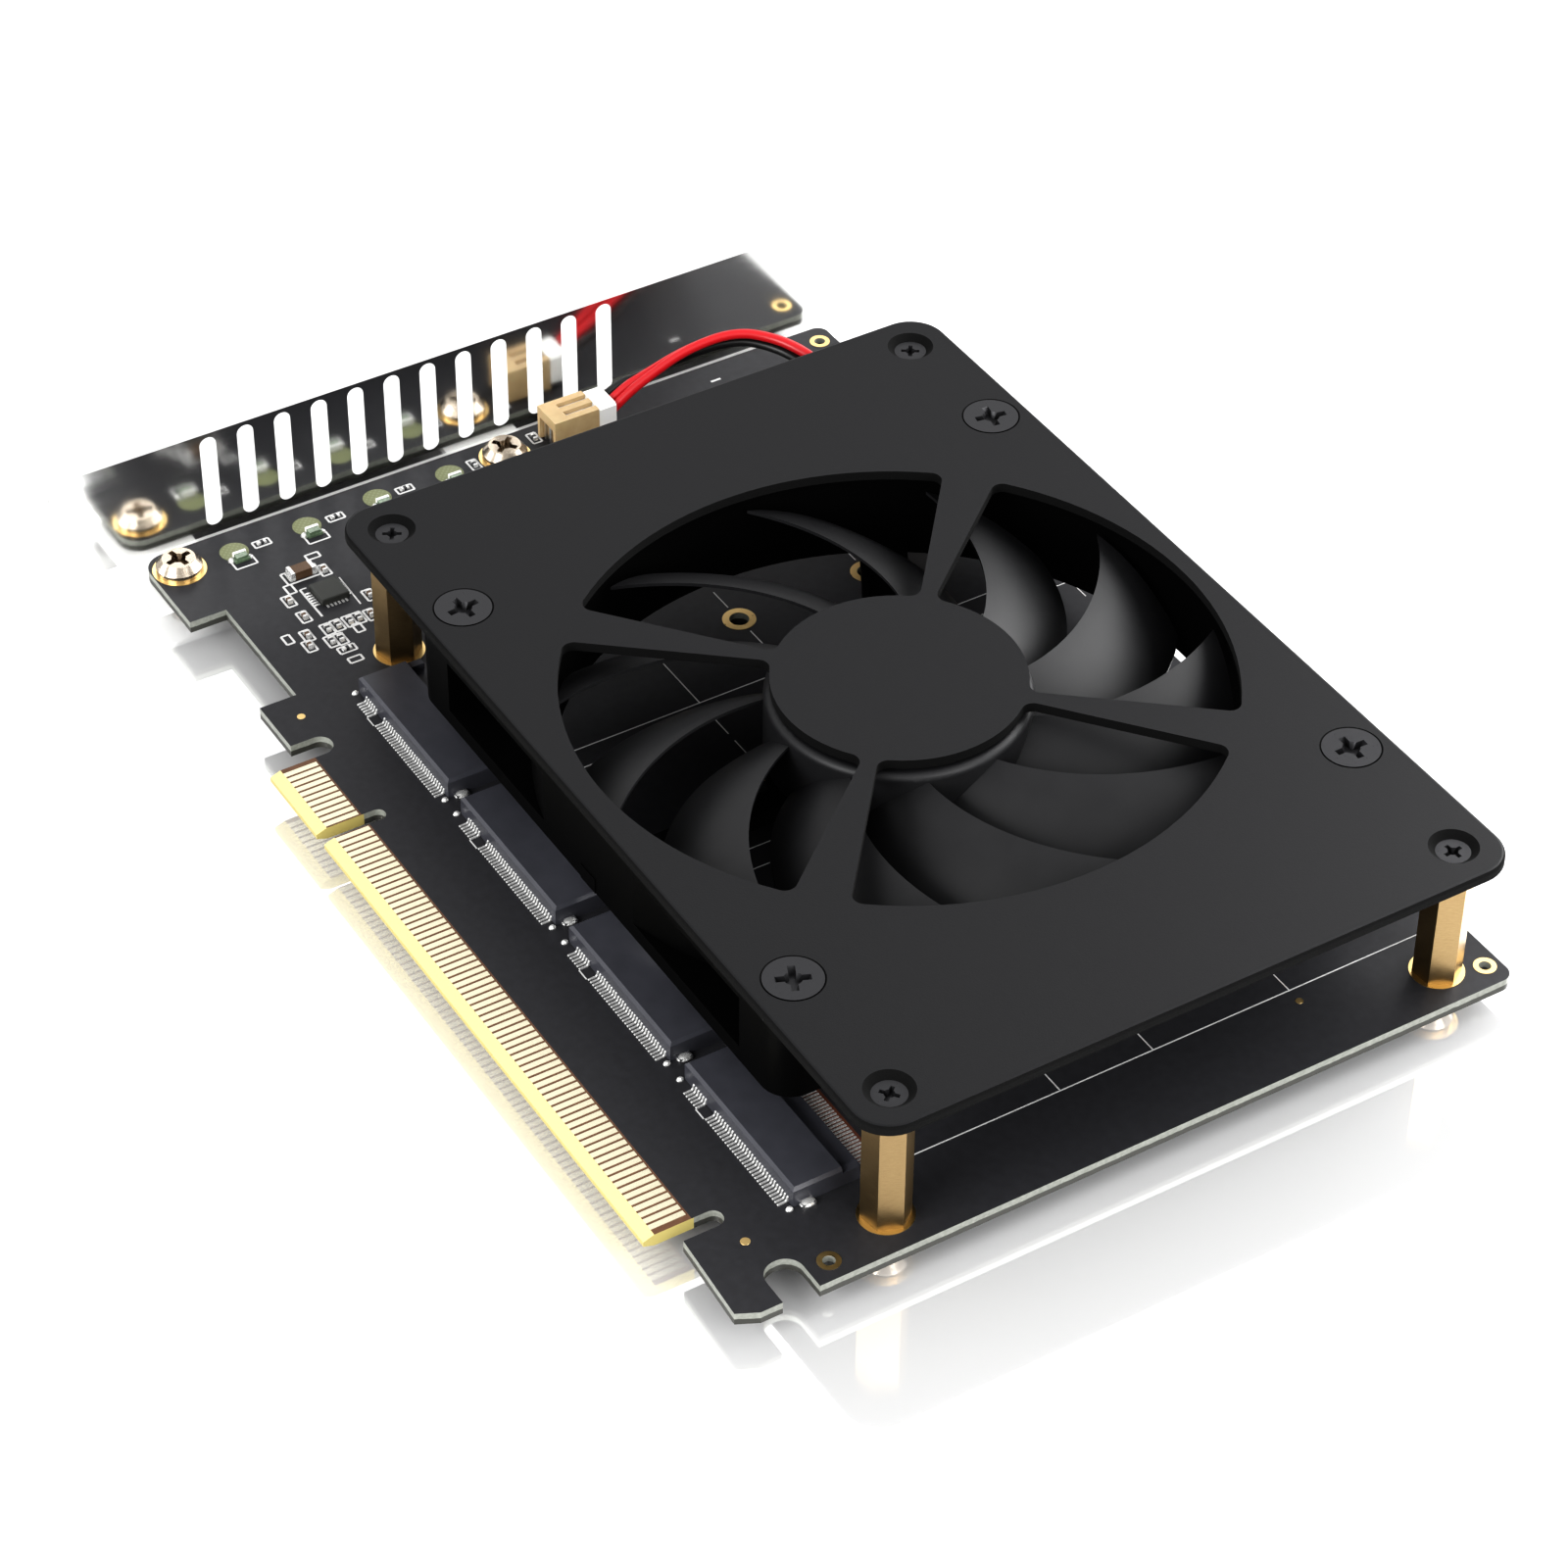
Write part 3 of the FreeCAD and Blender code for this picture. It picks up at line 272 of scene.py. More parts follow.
def lead(name, points, finish):
    """A round wire along a smooth spline with the route's own control points."""
    curve = bpy.data.curves.new("lead_" + name + "_wire", "CURVE")
    curve.dimensions = "3D"
    curve.bevel_depth = LEAD_R * MM
    curve.bevel_resolution = 4
    curve.use_fill_caps = True
    curve.resolution_u = 10
    spline = curve.splines.new("NURBS")
    spline.points.add(len(points) - 1)
    for control, point in zip(spline.points, points):
        control.co = tuple(on_card(*point)) + (1.0,)
    spline.order_u = 3
    spline.use_endpoint_u = True
    wire = bpy.data.objects.new("lead_" + name + "_wire", curve)
    bpy.context.scene.collection.objects.link(wire)
    curve.materials.append(finish.material)
    return wire


for name, points in lead_routes.items():
    wire = lead(name, points, dark_finish if name == "black" else red_finish)
    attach(wire, "card")
    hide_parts("lead_" + name)
print("leads:", len(lead_routes))

# %% [markdown]
# ## The floor and the light
# The photo was taken on a white glossy sheet in an even light tent, so its ground is
# white and carries a mirror image of the board's edge. One large plane with part mirror
# and part matt white does both. A white surround stands for the tent, and three soft
# area lights give the black surfaces their slow change from dark to grey. The picture
# was developed with strong contrast, and the view look does the same.

# %% Stage
view = bpy.context.scene.view_settings
view.view_transform = "Standard"
view.look = "High Contrast"

FLOOR_HALF, FLOOR_DROP = 3.0, 0.00005
sheet = bmesh.new()
bmesh.ops.create_grid(sheet, x_segments=1, y_segments=1, size=FLOOR_HALF)
floor_mesh = bpy.data.meshes.new("floor")
sheet.to_mesh(floor_mesh)
sheet.free()
floor = bpy.data.objects.new("floor", floor_mesh)
floor.location.z = cad_low.z - FLOOR_DROP
bpy.context.scene.collection.objects.link(floor)
sheet_finish = Finish("white_sheet", (0.92, 0.92, 0.92), 0.03, 0.54)
floor.data.materials.append(sheet_finish.material)


class Surround(NodeTree):
    """The tent as a world: one shade for each height above the horizon."""

    def __init__(self, name, stops):
        self.world = bpy.data.worlds.new(name)
        self.world.use_nodes = True
        self.tree = self.world.node_tree
        direction = self.add("ShaderNodeTexCoord", out="Generated")
        height = self.add("ShaderNodeSeparateXYZ", None, {0: direction}, out="Z")
        ramp = self.tree.nodes.new("ShaderNodeValToRGB")
        for _ in stops[2:]:
            ramp.color_ramp.elements.new(0.5)
        for element, (where, shade) in zip(ramp.color_ramp.elements, stops):
            element.position = where
            element.color = (shade, shade, shade, 1.0)
        self.feed(ramp.inputs[0], height)
        background = self.tree.nodes["Background"]
        self.feed(background.inputs["Color"], Signal(self, ramp.outputs[0]))
        self.feed(background.inputs["Strength"], TENT_STRENGTH)


TENT_STRENGTH = 1.1
tent = Surround("tent", ((0.0, 1.0), (0.45, 0.9), (0.75, 0.75), (0.95, 0.55)))
bpy.context.scene.world = tent.world


def softbox(name, place, aim, size, power):
    """A square area light that faces a point; both are in card millimetres."""
    data = bpy.data.lights.new(name, "AREA")
    data.size, data.energy = size, power
    lamp = bpy.data.objects.new(name, data)
    lamp.location = on_card(*place)
    toward = on_card(*aim) - lamp.location
    lamp.rotation_euler = toward.to_track_quat("-Z", "Y").to_euler()
    bpy.context.scene.collection.objects.link(lamp)


softbox("tent_front", (150, -420, 260), (15, 60, 10), 0.3, 2.2)
softbox("tent_right", (450, 150, 220), (15, 60, 10), 0.3, 1.2)
softbox("tent_back", (40, 330, 150), (30, 90, 15), 0.25, 1.0)
print("stage set")

# %% [markdown]
# ## The board
# Solder mask is a thin black lacquer over copper and glass cloth. It is satin, and the
# cloth under it shows as a faint unevenness. The cut edges show the pale glass fibre,
# and the chamfer at the contacts is bare yellowish laminate. The mask and the edge are
# told apart by the way the surface faces. The lower half of a cut edge is painted dark
# as painted shade, and along the contact tongue the edge takes the yellow of the chamfer.

# %% Board finish
board_finish = Finish("solder_mask", (0.03, 0.03, 0.033), 0.42, Specular_IOR_Level=0.27)
level_face = board_finish.facing("Z").size()
up_board = board_finish.axis("Y")
along = board_finish.axis("X")
tone = board_finish.noise(900.0, 3.0)
mask_color = board_finish.mixed(tone, (0.024, 0.024, 0.026), (0.036, 0.036, 0.04))
laminate = board_finish.mixed(tone, (0.10, 0.05, 0.03), (0.18, 0.10, 0.06))
fibre = board_finish.mixed(board_finish.noise(2600.0, 4.0), (0.14, 0.145, 0.13), (0.30, 0.31, 0.28))
# Painted shade: the lower half of each cut edge gets a dark colour.
shaded_lower_half = board_finish.axis("Z").under(on_card(0, 0, -0.95).z + tone * (0.25 * MM))
fibre = board_finish.mixed(shaded_lower_half, fibre, (0.045, 0.045, 0.04))
tongue = (
    up_board.under(on_card(0, 6.0).y)
    * along.over(on_card(-13.6, 0).x) * along.under(on_card(73.6, 0).x)
)
fibre = board_finish.mixed(tongue, fibre, (0.40, 0.34, 0.13))
contact_zone = (
    up_board.under(on_card(0, 5.75).y) * level_face.over(0.5)
    * along.over(on_card(-12.6, 0).x) * along.under(on_card(72.6, 0).x)
)
chamfer = contact_zone * up_board.under(on_card(0, 1.31).y)
board_color = board_finish.mixed(contact_zone, mask_color, laminate)
board_color = board_finish.mixed(level_face.under(0.5), board_color, fibre)
board_color = board_finish.mixed(chamfer, board_color, (0.62, 0.54, 0.26))
board_finish.put("Base Color", board_color)
board_finish.bump(board_finish.noise(1500.0, 4.0), 0.01, 0.3)
paint(board_finish, "circuit_board")
print("board finished")

# %% [markdown]
# ## Metals
# Gold plate, brass, nickel, tin and bright steel differ in colour and in how much fine
# scratching they show. A stretched noise gives the brushed look of turned or rolled
# metal, and a small bump keeps highlights from being perfectly clean. The bracket is
# bright inside and duller outside. Low beside the board its inside is made pale and
# dull, a painted bright band in place of the light seen through the gap there.

# %% Metal finishes
gold_finish = Finish("gold_plate", (0.93, 0.88, 0.68), 0.24, 1.0)
gold_finish.put("Roughness", 0.2 + gold_finish.noise(3000.0) * 0.16)
gold_finish.bump(gold_finish.noise(5000.0), 0.004, 0.4)

land_finish = Finish("gold_land", (0.83, 0.62, 0.30), 0.3, 1.0)
land_finish.put("Roughness", 0.22 + land_finish.noise(2500.0) * 0.2)
land_finish.bump(land_finish.noise(3500.0), 0.005, 0.4)

brass_finish = Finish("brass", (0.30, 0.22, 0.12), 0.3, 1.0)
brass_lines = brass_finish.noise(1400.0, 5.0, 0.7, brass_finish.stretched(1.0, 1.0, 6.0))
brass_finish.shade(brass_lines, (0.22, 0.155, 0.08), (0.36, 0.27, 0.15))
brass_finish.put("Roughness", 0.26 + brass_lines * 0.24)
brass_finish.bump(brass_lines, 0.006, 0.5)

steel_finish = Finish("bright_steel", (0.86, 0.86, 0.85), 0.07, 1.0)
steel_lines = steel_finish.noise(2200.0, 4.0, 0.6, steel_finish.stretched(1.0, 0.12, 1.0))
# Painted light: low on the inner face beside the board most of the metal is taken away, which
# leaves a pale, dull band.
painted_pale_band = (
    steel_finish.axis("X").over(on_card(-58.05, 0).x)
    * steel_finish.axis("Z").under(on_card(0, 0, -1.05).z)
)
steel_finish.put("Metallic", 1 - painted_pale_band * 0.8)
outer = steel_finish.facing("X").under(-0.5)
steel_finish.shade(outer, (0.86, 0.86, 0.85), (0.50, 0.50, 0.49))
steel_finish.put("Roughness", 0.09 + steel_lines * 0.09 + painted_pale_band * 0.3 + outer * 0.16)
steel_finish.bump(steel_finish.noise(90.0, 2.0), 0.02, 0.2)

nickel_finish = Finish("nickel_screw", (0.40, 0.35, 0.29), 0.25, 1.0)
nickel_finish.put("Roughness", 0.14 + nickel_finish.noise(2600.0) * 0.2)
nickel_finish.bump(nickel_finish.noise(3800.0, 3.0), 0.006, 0.5)

tin_finish = Finish("tin", (0.84, 0.84, 0.83), 0.28, 1.0)
tin_finish.bump(tin_finish.noise(4200.0, 3.0), 0.01, 0.6)

iron_finish = Finish("bare_steel", (0.45, 0.45, 0.46), 0.35, 1.0)
iron_finish.put("Roughness", 0.25 + iron_finish.noise(2000.0) * 0.25)
bronze_finish = Finish("bronze", (0.62, 0.42, 0.22), 0.4, 1.0)
bronze_finish.bump(bronze_finish.noise(6000.0, 3.0), 0.01, 0.6)
copper_finish = Finish("enamelled_copper", (0.72, 0.30, 0.12), 0.3, 1.0)
copper_finish.bump((copper_finish.axis("Z") * 26000.0).wave(), 0.05, 0.7)
magnet_finish = Finish("ferrite", (0.05, 0.045, 0.04), 0.6)
magnet_finish.bump(magnet_finish.noise(4000.0, 3.0), 0.01, 0.6)
green_finish = Finish("green_mask", (0.02, 0.10, 0.04), 0.35)
green_finish.bump(green_finish.noise(1800.0), 0.01, 0.4)

paint(gold_finish, "edge_contacts")
paint(land_finish, "plated_lands")
paint(brass_finish, "standoffs")
paint(steel_finish, "io_bracket")
paint(nickel_finish, "bracket_screws", "standoff_screws")
paint(tin_finish, "socket_clips", "header_pins")
paint(iron_finish, "rotor_yoke", "fan_shaft", "stator_core")
paint(bronze_finish, "bearing_sleeve")
paint(copper_finish, "stator_coils")
paint(magnet_finish, "rotor_magnet")
paint(green_finish, "fan_circuit")
print("metals finished")

# %% [markdown]
# ## Black pieces
# Three blacks meet here: the cover has a fine sandy lacquer that scatters light evenly,
# the fan is moulded resin with a faint texture, and the sockets are smoother and a
# little blue. Grain size, roughness and the strength of the gloss set them apart. The
# cover's edges and dimples don't face up; their colour is painted darker as painted
# shade, and their lacquer is duller.

# %% Cover, screws, fan and sockets
cover_finish = Finish("sand_black", (0.008, 0.008, 0.009), 0.5, Specular_IOR_Level=0.3)
sand = cover_finish.noise(5200.0, 3.0, 0.6)
cover_color = cover_finish.mixed(sand, (0.005, 0.005, 0.006), (0.012, 0.012, 0.013))
# Painted shade: faces that don't face up, such as edges and dimples, get a near-black colour.
sloping_shade = cover_finish.facing("Z").under(0.85)
cover_finish.shade(sloping_shade, cover_color, (0.001, 0.001, 0.001))
cover_finish.put("Roughness", 0.42 + sand * 0.16 + sloping_shade * 0.42)
cover_finish.bump(sand, 0.02, 0.5)
paint(cover_finish, "cover_plate")

black_screw = Finish("black_oxide", (0.055, 0.055, 0.058), 0.3, 0.7)
black_screw.put("Roughness", 0.2 + black_screw.noise(3000.0, 3.0) * 0.26)
black_screw.bump(black_screw.noise(4200.0), 0.006, 0.5)
paint(black_screw, "plate_screws", "fan_screws")

frame_finish = Finish("fan_resin", (0.002, 0.002, 0.002), 0.5, Specular_IOR_Level=0.07)
frame_finish.bump(frame_finish.noise(3000.0, 3.0), 0.012, 0.4)
paint(frame_finish, "fan_frame")

blade_finish = Finish("blade_resin", (0.012, 0.012, 0.013), 0.5, Specular_IOR_Level=0.42)
blade_tone = blade_finish.noise(260.0, 3.0)
blade_finish.shade(blade_tone, (0.009, 0.009, 0.010), (0.016, 0.016, 0.017))
blade_finish.bump(blade_finish.noise(3600.0, 3.0), 0.01, 0.35)
paint(blade_finish, "fan_rotor")

socket_finish = Finish("socket_resin", (0.05, 0.05, 0.06), 0.3)
socket_tone = socket_finish.noise(420.0, 3.0)
socket_finish.shade(socket_tone, (0.042, 0.043, 0.05), (0.062, 0.063, 0.075))
socket_finish.put("Roughness", 0.24 + socket_finish.noise(2400.0, 3.0) * 0.16)
socket_finish.bump(socket_finish.noise(3200.0, 3.0), 0.006, 0.4)
paint(socket_finish, *("drive_socket_%d" % number for number in range(1, 5)))

package_finish = Finish("package_resin", (0.03, 0.031, 0.028), 0.5)
package_finish.bump(package_finish.noise(6000.0, 3.0), 0.01, 0.6)
paint(package_finish, "controller_chip")
print("black pieces finished")

# %% [markdown]
# ## Small light pieces
# The header is cream nylon and the plug white nylon. Both let a little light in, which
# softens their edges. Ceramic chips are tan or nearly black, and the lamps are a dark
# green chip under a clear lens.

# %% Nylon, ceramic and lamps
cream_finish = Finish("cream_nylon", (0.46, 0.33, 0.18), 0.4, Subsurface_Weight=0.08)
cream_tone = cream_finish.noise(700.0, 3.0)
cream_finish.shade(cream_tone, (0.40, 0.28, 0.145), (0.52, 0.38, 0.22))
cream_finish.bump(cream_finish.noise(3000.0, 2.0), 0.01, 0.4)
paint(cream_finish, "fan_header")

white_finish = Finish("white_nylon", (0.80, 0.79, 0.76), 0.35, Subsurface_Weight=0.08)
white_finish.bump(white_finish.noise(2600.0, 2.0), 0.01, 0.3)
paint(white_finish, "wire_plug", "shaft_clip")

tan_finish = Finish("tan_ceramic", (0.10, 0.06, 0.035), 0.45)
tan_grain = tan_finish.noise(5000.0, 3.0)
tan_finish.shade(tan_grain, (0.06, 0.035, 0.02), (0.13, 0.075, 0.04))
paint(tan_finish, "chip_capacitors")

resistor_finish = Finish("resistor_glaze", (0.02, 0.02, 0.022), 0.35)
resistor_grain = resistor_finish.noise(5000.0, 3.0)
resistor_finish.shade(resistor_grain, (0.012, 0.012, 0.014), (0.035, 0.035, 0.038))
paint(resistor_finish, "chip_resistors")

lamp_finish = Finish("lamp_lens", (0.10, 0.14, 0.09), 0.2, Coat_Weight=0.5)
lamp_grain = lamp_finish.noise(2500.0, 2.0)
lamp_finish.shade(lamp_grain, (0.03, 0.05, 0.03), (0.20, 0.27, 0.18))
paint(lamp_finish, "status_leds")
print("small pieces finished")

# %% [markdown]
# ## Two makers for what repeats
# Pins, printed marks and the ends of chips repeat many times. Each is one small shape
# set at many places, which is what instancing does well. One Geometry Nodes tree sets a
# shape on every point of a mesh and reads its size and turn from the point. The other
# one starts a row of the shape at every point, because solder pins stand in rows.

# %% Geometry Nodes trees
class Maker(NodeTree):
    """A Geometry Nodes tree with named inputs, which leaves a plain mesh."""

    def __init__(self, name, **inputs):
        self.tree = bpy.data.node_groups.new(name, "GeometryNodeTree")
        face = self.tree.interface
        self.keys = {}
        face.new_socket("Geometry", in_out="INPUT", socket_type="NodeSocketGeometry")
        for label, kind in inputs.items():
            socket = face.new_socket(label, in_out="INPUT", socket_type="NodeSocket" + kind)
            self.keys[label] = socket.identifier
        face.new_socket("Geometry", in_out="OUTPUT", socket_type="NodeSocketGeometry")
        self.inputs = self.tree.nodes.new("NodeGroupInput")
        self.result = self.tree.nodes.new("NodeGroupOutput")

    def given(self, label):
        return Signal(self, self.inputs.outputs[label])

    def stored(self, label, kind):
        """A value that every point carries."""
        return self.add("GeometryNodeInputNamedAttribute", {"data_type": kind}, {"Name": label})

    def set_shape(self, points, **feeds):
        """Shapes on points, made real and given their finish, as the tree's result."""
        shape = self.add(
            "GeometryNodeObjectInfo", None, {"Object": self.given("Shape")}, "Geometry"
        )
        placed = self.add(
            "GeometryNodeInstanceOnPoints", None, {"Points": points, "Instance": shape, **feeds}
        )
        real = self.add("GeometryNodeRealizeInstances", None, {0: placed})
        painted = self.add(
            "GeometryNodeSetMaterial", None, {"Geometry": real, "Material": self.given("Finish")}
        )
        self.feed(self.result.inputs[0], painted)

    def run(self, name, points, slot, **values):
        """Runs the tree on points and keeps a piece that rides on the card."""
        host = bpy.data.objects.new(name + "_host", points)
        bpy.context.scene.collection.objects.link(host)
        modifier = host.modifiers.new("maker", "NODES")
        modifier.node_group = self.tree
        for label, value in values.items():
            modifier[self.keys[label]] = value
        view = bpy.context.evaluated_depsgraph_get()
        mesh = bpy.data.meshes.new_from_object(host.evaluated_get(view))
        bpy.data.objects.remove(host)
        piece = bpy.data.objects.new(name, mesh)
        bpy.context.scene.collection.objects.link(piece)
        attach(piece, "card")
        print(name, len(mesh.polygons), "faces")
        return piece


set_on_points = Maker("set_on_points", Shape="Object", Finish="Material")
turning = set_on_points.add(
    "ShaderNodeCombineXYZ", None, {"Z": set_on_points.stored("turn", "FLOAT")}
)
set_on_points.set_shape(
    set_on_points.given("Geometry"),
    Rotation=turning, Scale=set_on_points.stored("size", "FLOAT_VECTOR"),
)

rows_of_shape = Maker(
    "rows_of_shape", Shape="Object", Finish="Material", First="Vector", Pitch="Float",
    Count="Int", Unevenness="Float", Seed="Int",
)
step = rows_of_shape.add("ShaderNodeCombineXYZ", None, {"X": rows_of_shape.given("Pitch")})
line = rows_of_shape.add(
    "GeometryNodeMeshLine", {"mode": "OFFSET"},
    {"Count": rows_of_shape.given("Count"), "Start Location": rows_of_shape.given("First"),
     "Offset": step},
)
lines = rows_of_shape.add(
    "GeometryNodeInstanceOnPoints", None,
    {"Points": rows_of_shape.given("Geometry"), "Instance": line},
)
unevenness = rows_of_shape.given("Unevenness")
height = rows_of_shape.add(
    "FunctionNodeRandomValue", {"data_type": "FLOAT"},
    {2: 1 - unevenness, 3: 1 + unevenness, "Seed": rows_of_shape.given("Seed")}, out=1,
)
rows_of_shape.set_shape(
    rows_of_shape.add("GeometryNodeRealizeInstances", None, {0: lines}),
    Scale=rows_of_shape.add("ShaderNodeCombineXYZ", None, {"X": 1.0, "Y": 1.0, "Z": height}),
)
print("makers:", set_on_points.tree.name, rows_of_shape.tree.name)


# %% [markdown]
# ## The small shapes
# A printed bar, a chip's soldered end, a solder pin, a disc and a bead of solder are
# each drawn once. Most are a section drawn in two axes and pulled along the third, with
# the edges broken by a bevel, so they catch light the way real solder and ink do.

# %% Shapes to repeat
def shape_object(name, made):
    bmesh.ops.recalc_face_normals(made, faces=made.faces)
    mesh = bpy.data.meshes.new(name)
    made.to_mesh(mesh)
    made.free()
    shape = bpy.data.objects.new(name, mesh)
    bpy.context.scene.collection.objects.link(shape)
    return shape


def pulled(name, section, width, unit=MM):
    """Closed bar along X whose section is drawn in Y and Z."""
    made = bmesh.new()
    rings = [
        [made.verts.new((x * unit, y * unit, z * unit)) for y, z in section]
        for x in (-width / 2, width / 2)
    ]
    for ring in rings:
        made.faces.new(ring)
    count = len(section)
    for i in range(count):
        j = (i + 1) % count
        made.faces.new((rings[0][i], rings[0][j], rings[1][j], rings[1][i]))
    return shape_object(name, made)


def turned(name, section, sides):
    """Closed round shape about Z: its section runs from the axis to the axis."""
    made = bmesh.new()
    start, end = (made.verts.new((0, 0, z)) for _, z in (section[0], section[-1]))
    rings = []
    for radius, z in section[1:-1]:
        rings.append([
            made.verts.new((radius * math.cos(a), radius * math.sin(a), z))
            for a in (2 * math.pi * k / sides for k in range(sides))
        ])
    for k in range(sides):
        j = (k + 1) % sides
        made.faces.new((start, rings[0][k], rings[0][j]))
        made.faces.new((end, rings[-1][j], rings[-1][k]))
        for low, high in zip(rings, rings[1:]):
            made.faces.new((low[k], high[k], high[j], low[j]))
    return shape_object(name, made)


ink_bar = pulled(
    "ink_bar",
    ((-0.5, -0.3), (0.5, -0.3), (0.5, 0.7), (0.46, 1.0), (-0.46, 1.0), (-0.5, 0.7)), 1.0, 1.0,
)
chip_end = pulled(
    "chip_end",
    ((-0.5, 0.0), (0.9, 0.0), (0.9, 0.12), (0.62, 0.45), (0.5, 0.92), (0.42, 1.0),
     (-0.44, 1.0), (-0.5, 0.94)),
    1.0, 1.0,
)
disc = turned("disc", ((0, -0.5), (0.5, -0.5), (0.5, 0.3), (0.49, 0.5), (0, 0.5)), 48)
bead = turned("bead", ((0, 0), (0.5, 0), (0.47, 0.3), (0.38, 0.62), (0.22, 0.9), (0, 1.0)), 14)
rear_pin = pulled(
    "rear_pin",
    ((0, 0), (1.05, 0), (1.3, 0.1), (1.32, 0.55), (1.42, 0.62), (1.62, 0.64), (1.62, 0.84),
     (1.34, 0.8), (1.18, 0.66), (1.1, 0.3), (0.95, 0.16), (0.1, 0.13), (0, 0.08)),
    0.25,
)
front_pin = pulled(
    "front_pin",
    ((-0.3, 0), (2.2, 0), (2.2, 0.07), (2.1, 0.12), (0.3, 0.12), (0.0, 0.22), (-0.3, 0.24)),
    0.24,
)
tip = pulled(
    "tip", ((0, -0.05), (0.75, -0.05), (0.75, 0.04), (0.55, 0.13), (0.2, 0.1), (0, 0.02)), 0.25
)
shapes = (ink_bar, chip_end, disc, bead, rear_pin, front_pin, tip)
print("shapes:", [shape.name for shape in shapes])


# %% Points for the makers
def plain_points(spots):
    """Points at card millimetres."""
    mesh = bpy.data.meshes.new("points")
    mesh.from_pydata([on_card(*spot) for spot in spots], [], [])
    return mesh


def sized_points(rows):
    """Points with a size in millimetres and a turn in degrees: x, y, z, sizes, turn."""
    mesh = plain_points([row[:3] for row in rows])
    size = mesh.attributes.new("size", "FLOAT_VECTOR", "POINT")
    size.data.foreach_set("vector", [v * MM for row in rows for v in row[3:6]])
    turn = mesh.attributes.new("turn", "FLOAT", "POINT")
    turn.data.foreach_set("value", [math.radians(row[6]) for row in rows])
    return mesh


def set_shapes(name, rows, slot, shape, finish):
    """A piece made of one shape at every row of places, sizes and turns."""
    set_on_points.run(name, sized_points(rows), slot, Shape=shape, Finish=finish.material)


# %% [markdown]
# ## Solder pins of the sockets
# A drive socket is soldered by a row of gull-wing pins behind it and a row of flat feet
# in front of its mouth. The pins are half a millimetre apart and leave a gap at the key.
# The row maker runs once for each group and starts a row at all four sockets. A small
# random height keeps the solder from looking machined.

# %% Socket pins
COLUMNS = [-9.4 + 25.0 * k for k in range(4)]
SOCKET_BACK, SOCKET_FRONT = 15.5, 24.2
socket_starts = plain_points([(x, 0, 0) for x in COLUMNS])
PIN_PITCH = 0.5


def pin_rows(name, shape, finish, slot, first, count, seed, unevenness=0.12):
    """Rows of one shape, from a first place relative to each column."""
    rows_of_shape.run(
        name, socket_starts.copy(), slot, Shape=shape, Finish=finish.material,
        First=tuple(v * MM for v in first), Pitch=PIN_PITCH * MM, Count=count,
        Unevenness=unevenness, Seed=seed,
    )


solder_finish = Finish("solder", (0.66, 0.66, 0.65), 0.22, 0.6)
solder_grain = solder_finish.noise(5200.0, 3.0)
solder_finish.put("Roughness", 0.14 + solder_grain * 0.24)
solder_finish.bump(solder_grain, 0.02, 0.7)

pin_rows("socket_pins_short", rear_pin, solder_finish, "tin", (-9.0, SOCKET_BACK - 1.3, 0), 6, 3)
pin_rows("socket_pins_long", rear_pin, solder_finish, "tin", (-4.5, SOCKET_BACK - 1.3, 0), 30, 4)
pin_rows("socket_feet_short", front_pin, solder_finish, "tin", (-9.25, SOCKET_FRONT + 0.1, 0), 6, 5)
pin_rows("socket_feet_long", front_pin, solder_finish, "tin", (-4.75, SOCKET_FRONT + 0.1, 0), 31, 6)
pin_rows("socket_tips_short", tip, gold_finish, "gold", (-9.0, 21.5, 0.95), 6, 7, 0.05)
pin_rows("socket_tips_long", tip, gold_finish, "gold", (-4.5, 21.5, 0.95), 30, 8, 0.05)

# %% [markdown]
# ## Bare laminate and solder beads
# Between the feet in front of a socket the lacquer is left open and reddish laminate
# shows. Under the four lamps round windows without lacquer let light through the board.
# Beads of solder hold the sockets' corners and the lamps. Three plain gold dots are
# test points.

# %% Laminate, windows, dots and beads
laminate_finish = Finish("open_laminate", (0.10, 0.035, 0.02), 0.5)
laminate_tone = laminate_finish.noise(1500.0, 3.0)
laminate_finish.shade(laminate_tone, (0.07, 0.022, 0.014), (0.14, 0.055, 0.03))
window_finish = Finish("lamp_window", (0.17, 0.19, 0.10), 0.4)
weave = (window_finish.axis("X") * 9000.0).wave() * (window_finish.axis("Y") * 9000.0).wave()
window_finish.shade(weave, (0.15, 0.165, 0.085), (0.20, 0.21, 0.12))

open_strips = [(x + 0.4, SOCKET_FRONT + 1.35, 0, 20.0, 2.6, 0.02, 0) for x in COLUMNS]
set_shapes("open_strips", open_strips, "board", ink_bar, laminate_finish)
WINDOWS = ((-52.12, 14.81), (-52.2, 24.7), (-52.84, 34.7), (-52.64, 44.68))
window_discs = [(x, y, 0, 3.6, 3.6, 0.03, 0) for x, y in WINDOWS]
set_shapes("lamp_windows", window_discs, "board", disc, window_finish)
DOTS = ((-20.0, 7.7, 1.0), (78.2, 8.8, 1.1), (78.55, 78.6, 0.9))
dots = [(x, y, 0, across, across, 0.06, 0) for x, y, across in DOTS]
set_shapes("test_points", dots, "gold", disc, land_finish)

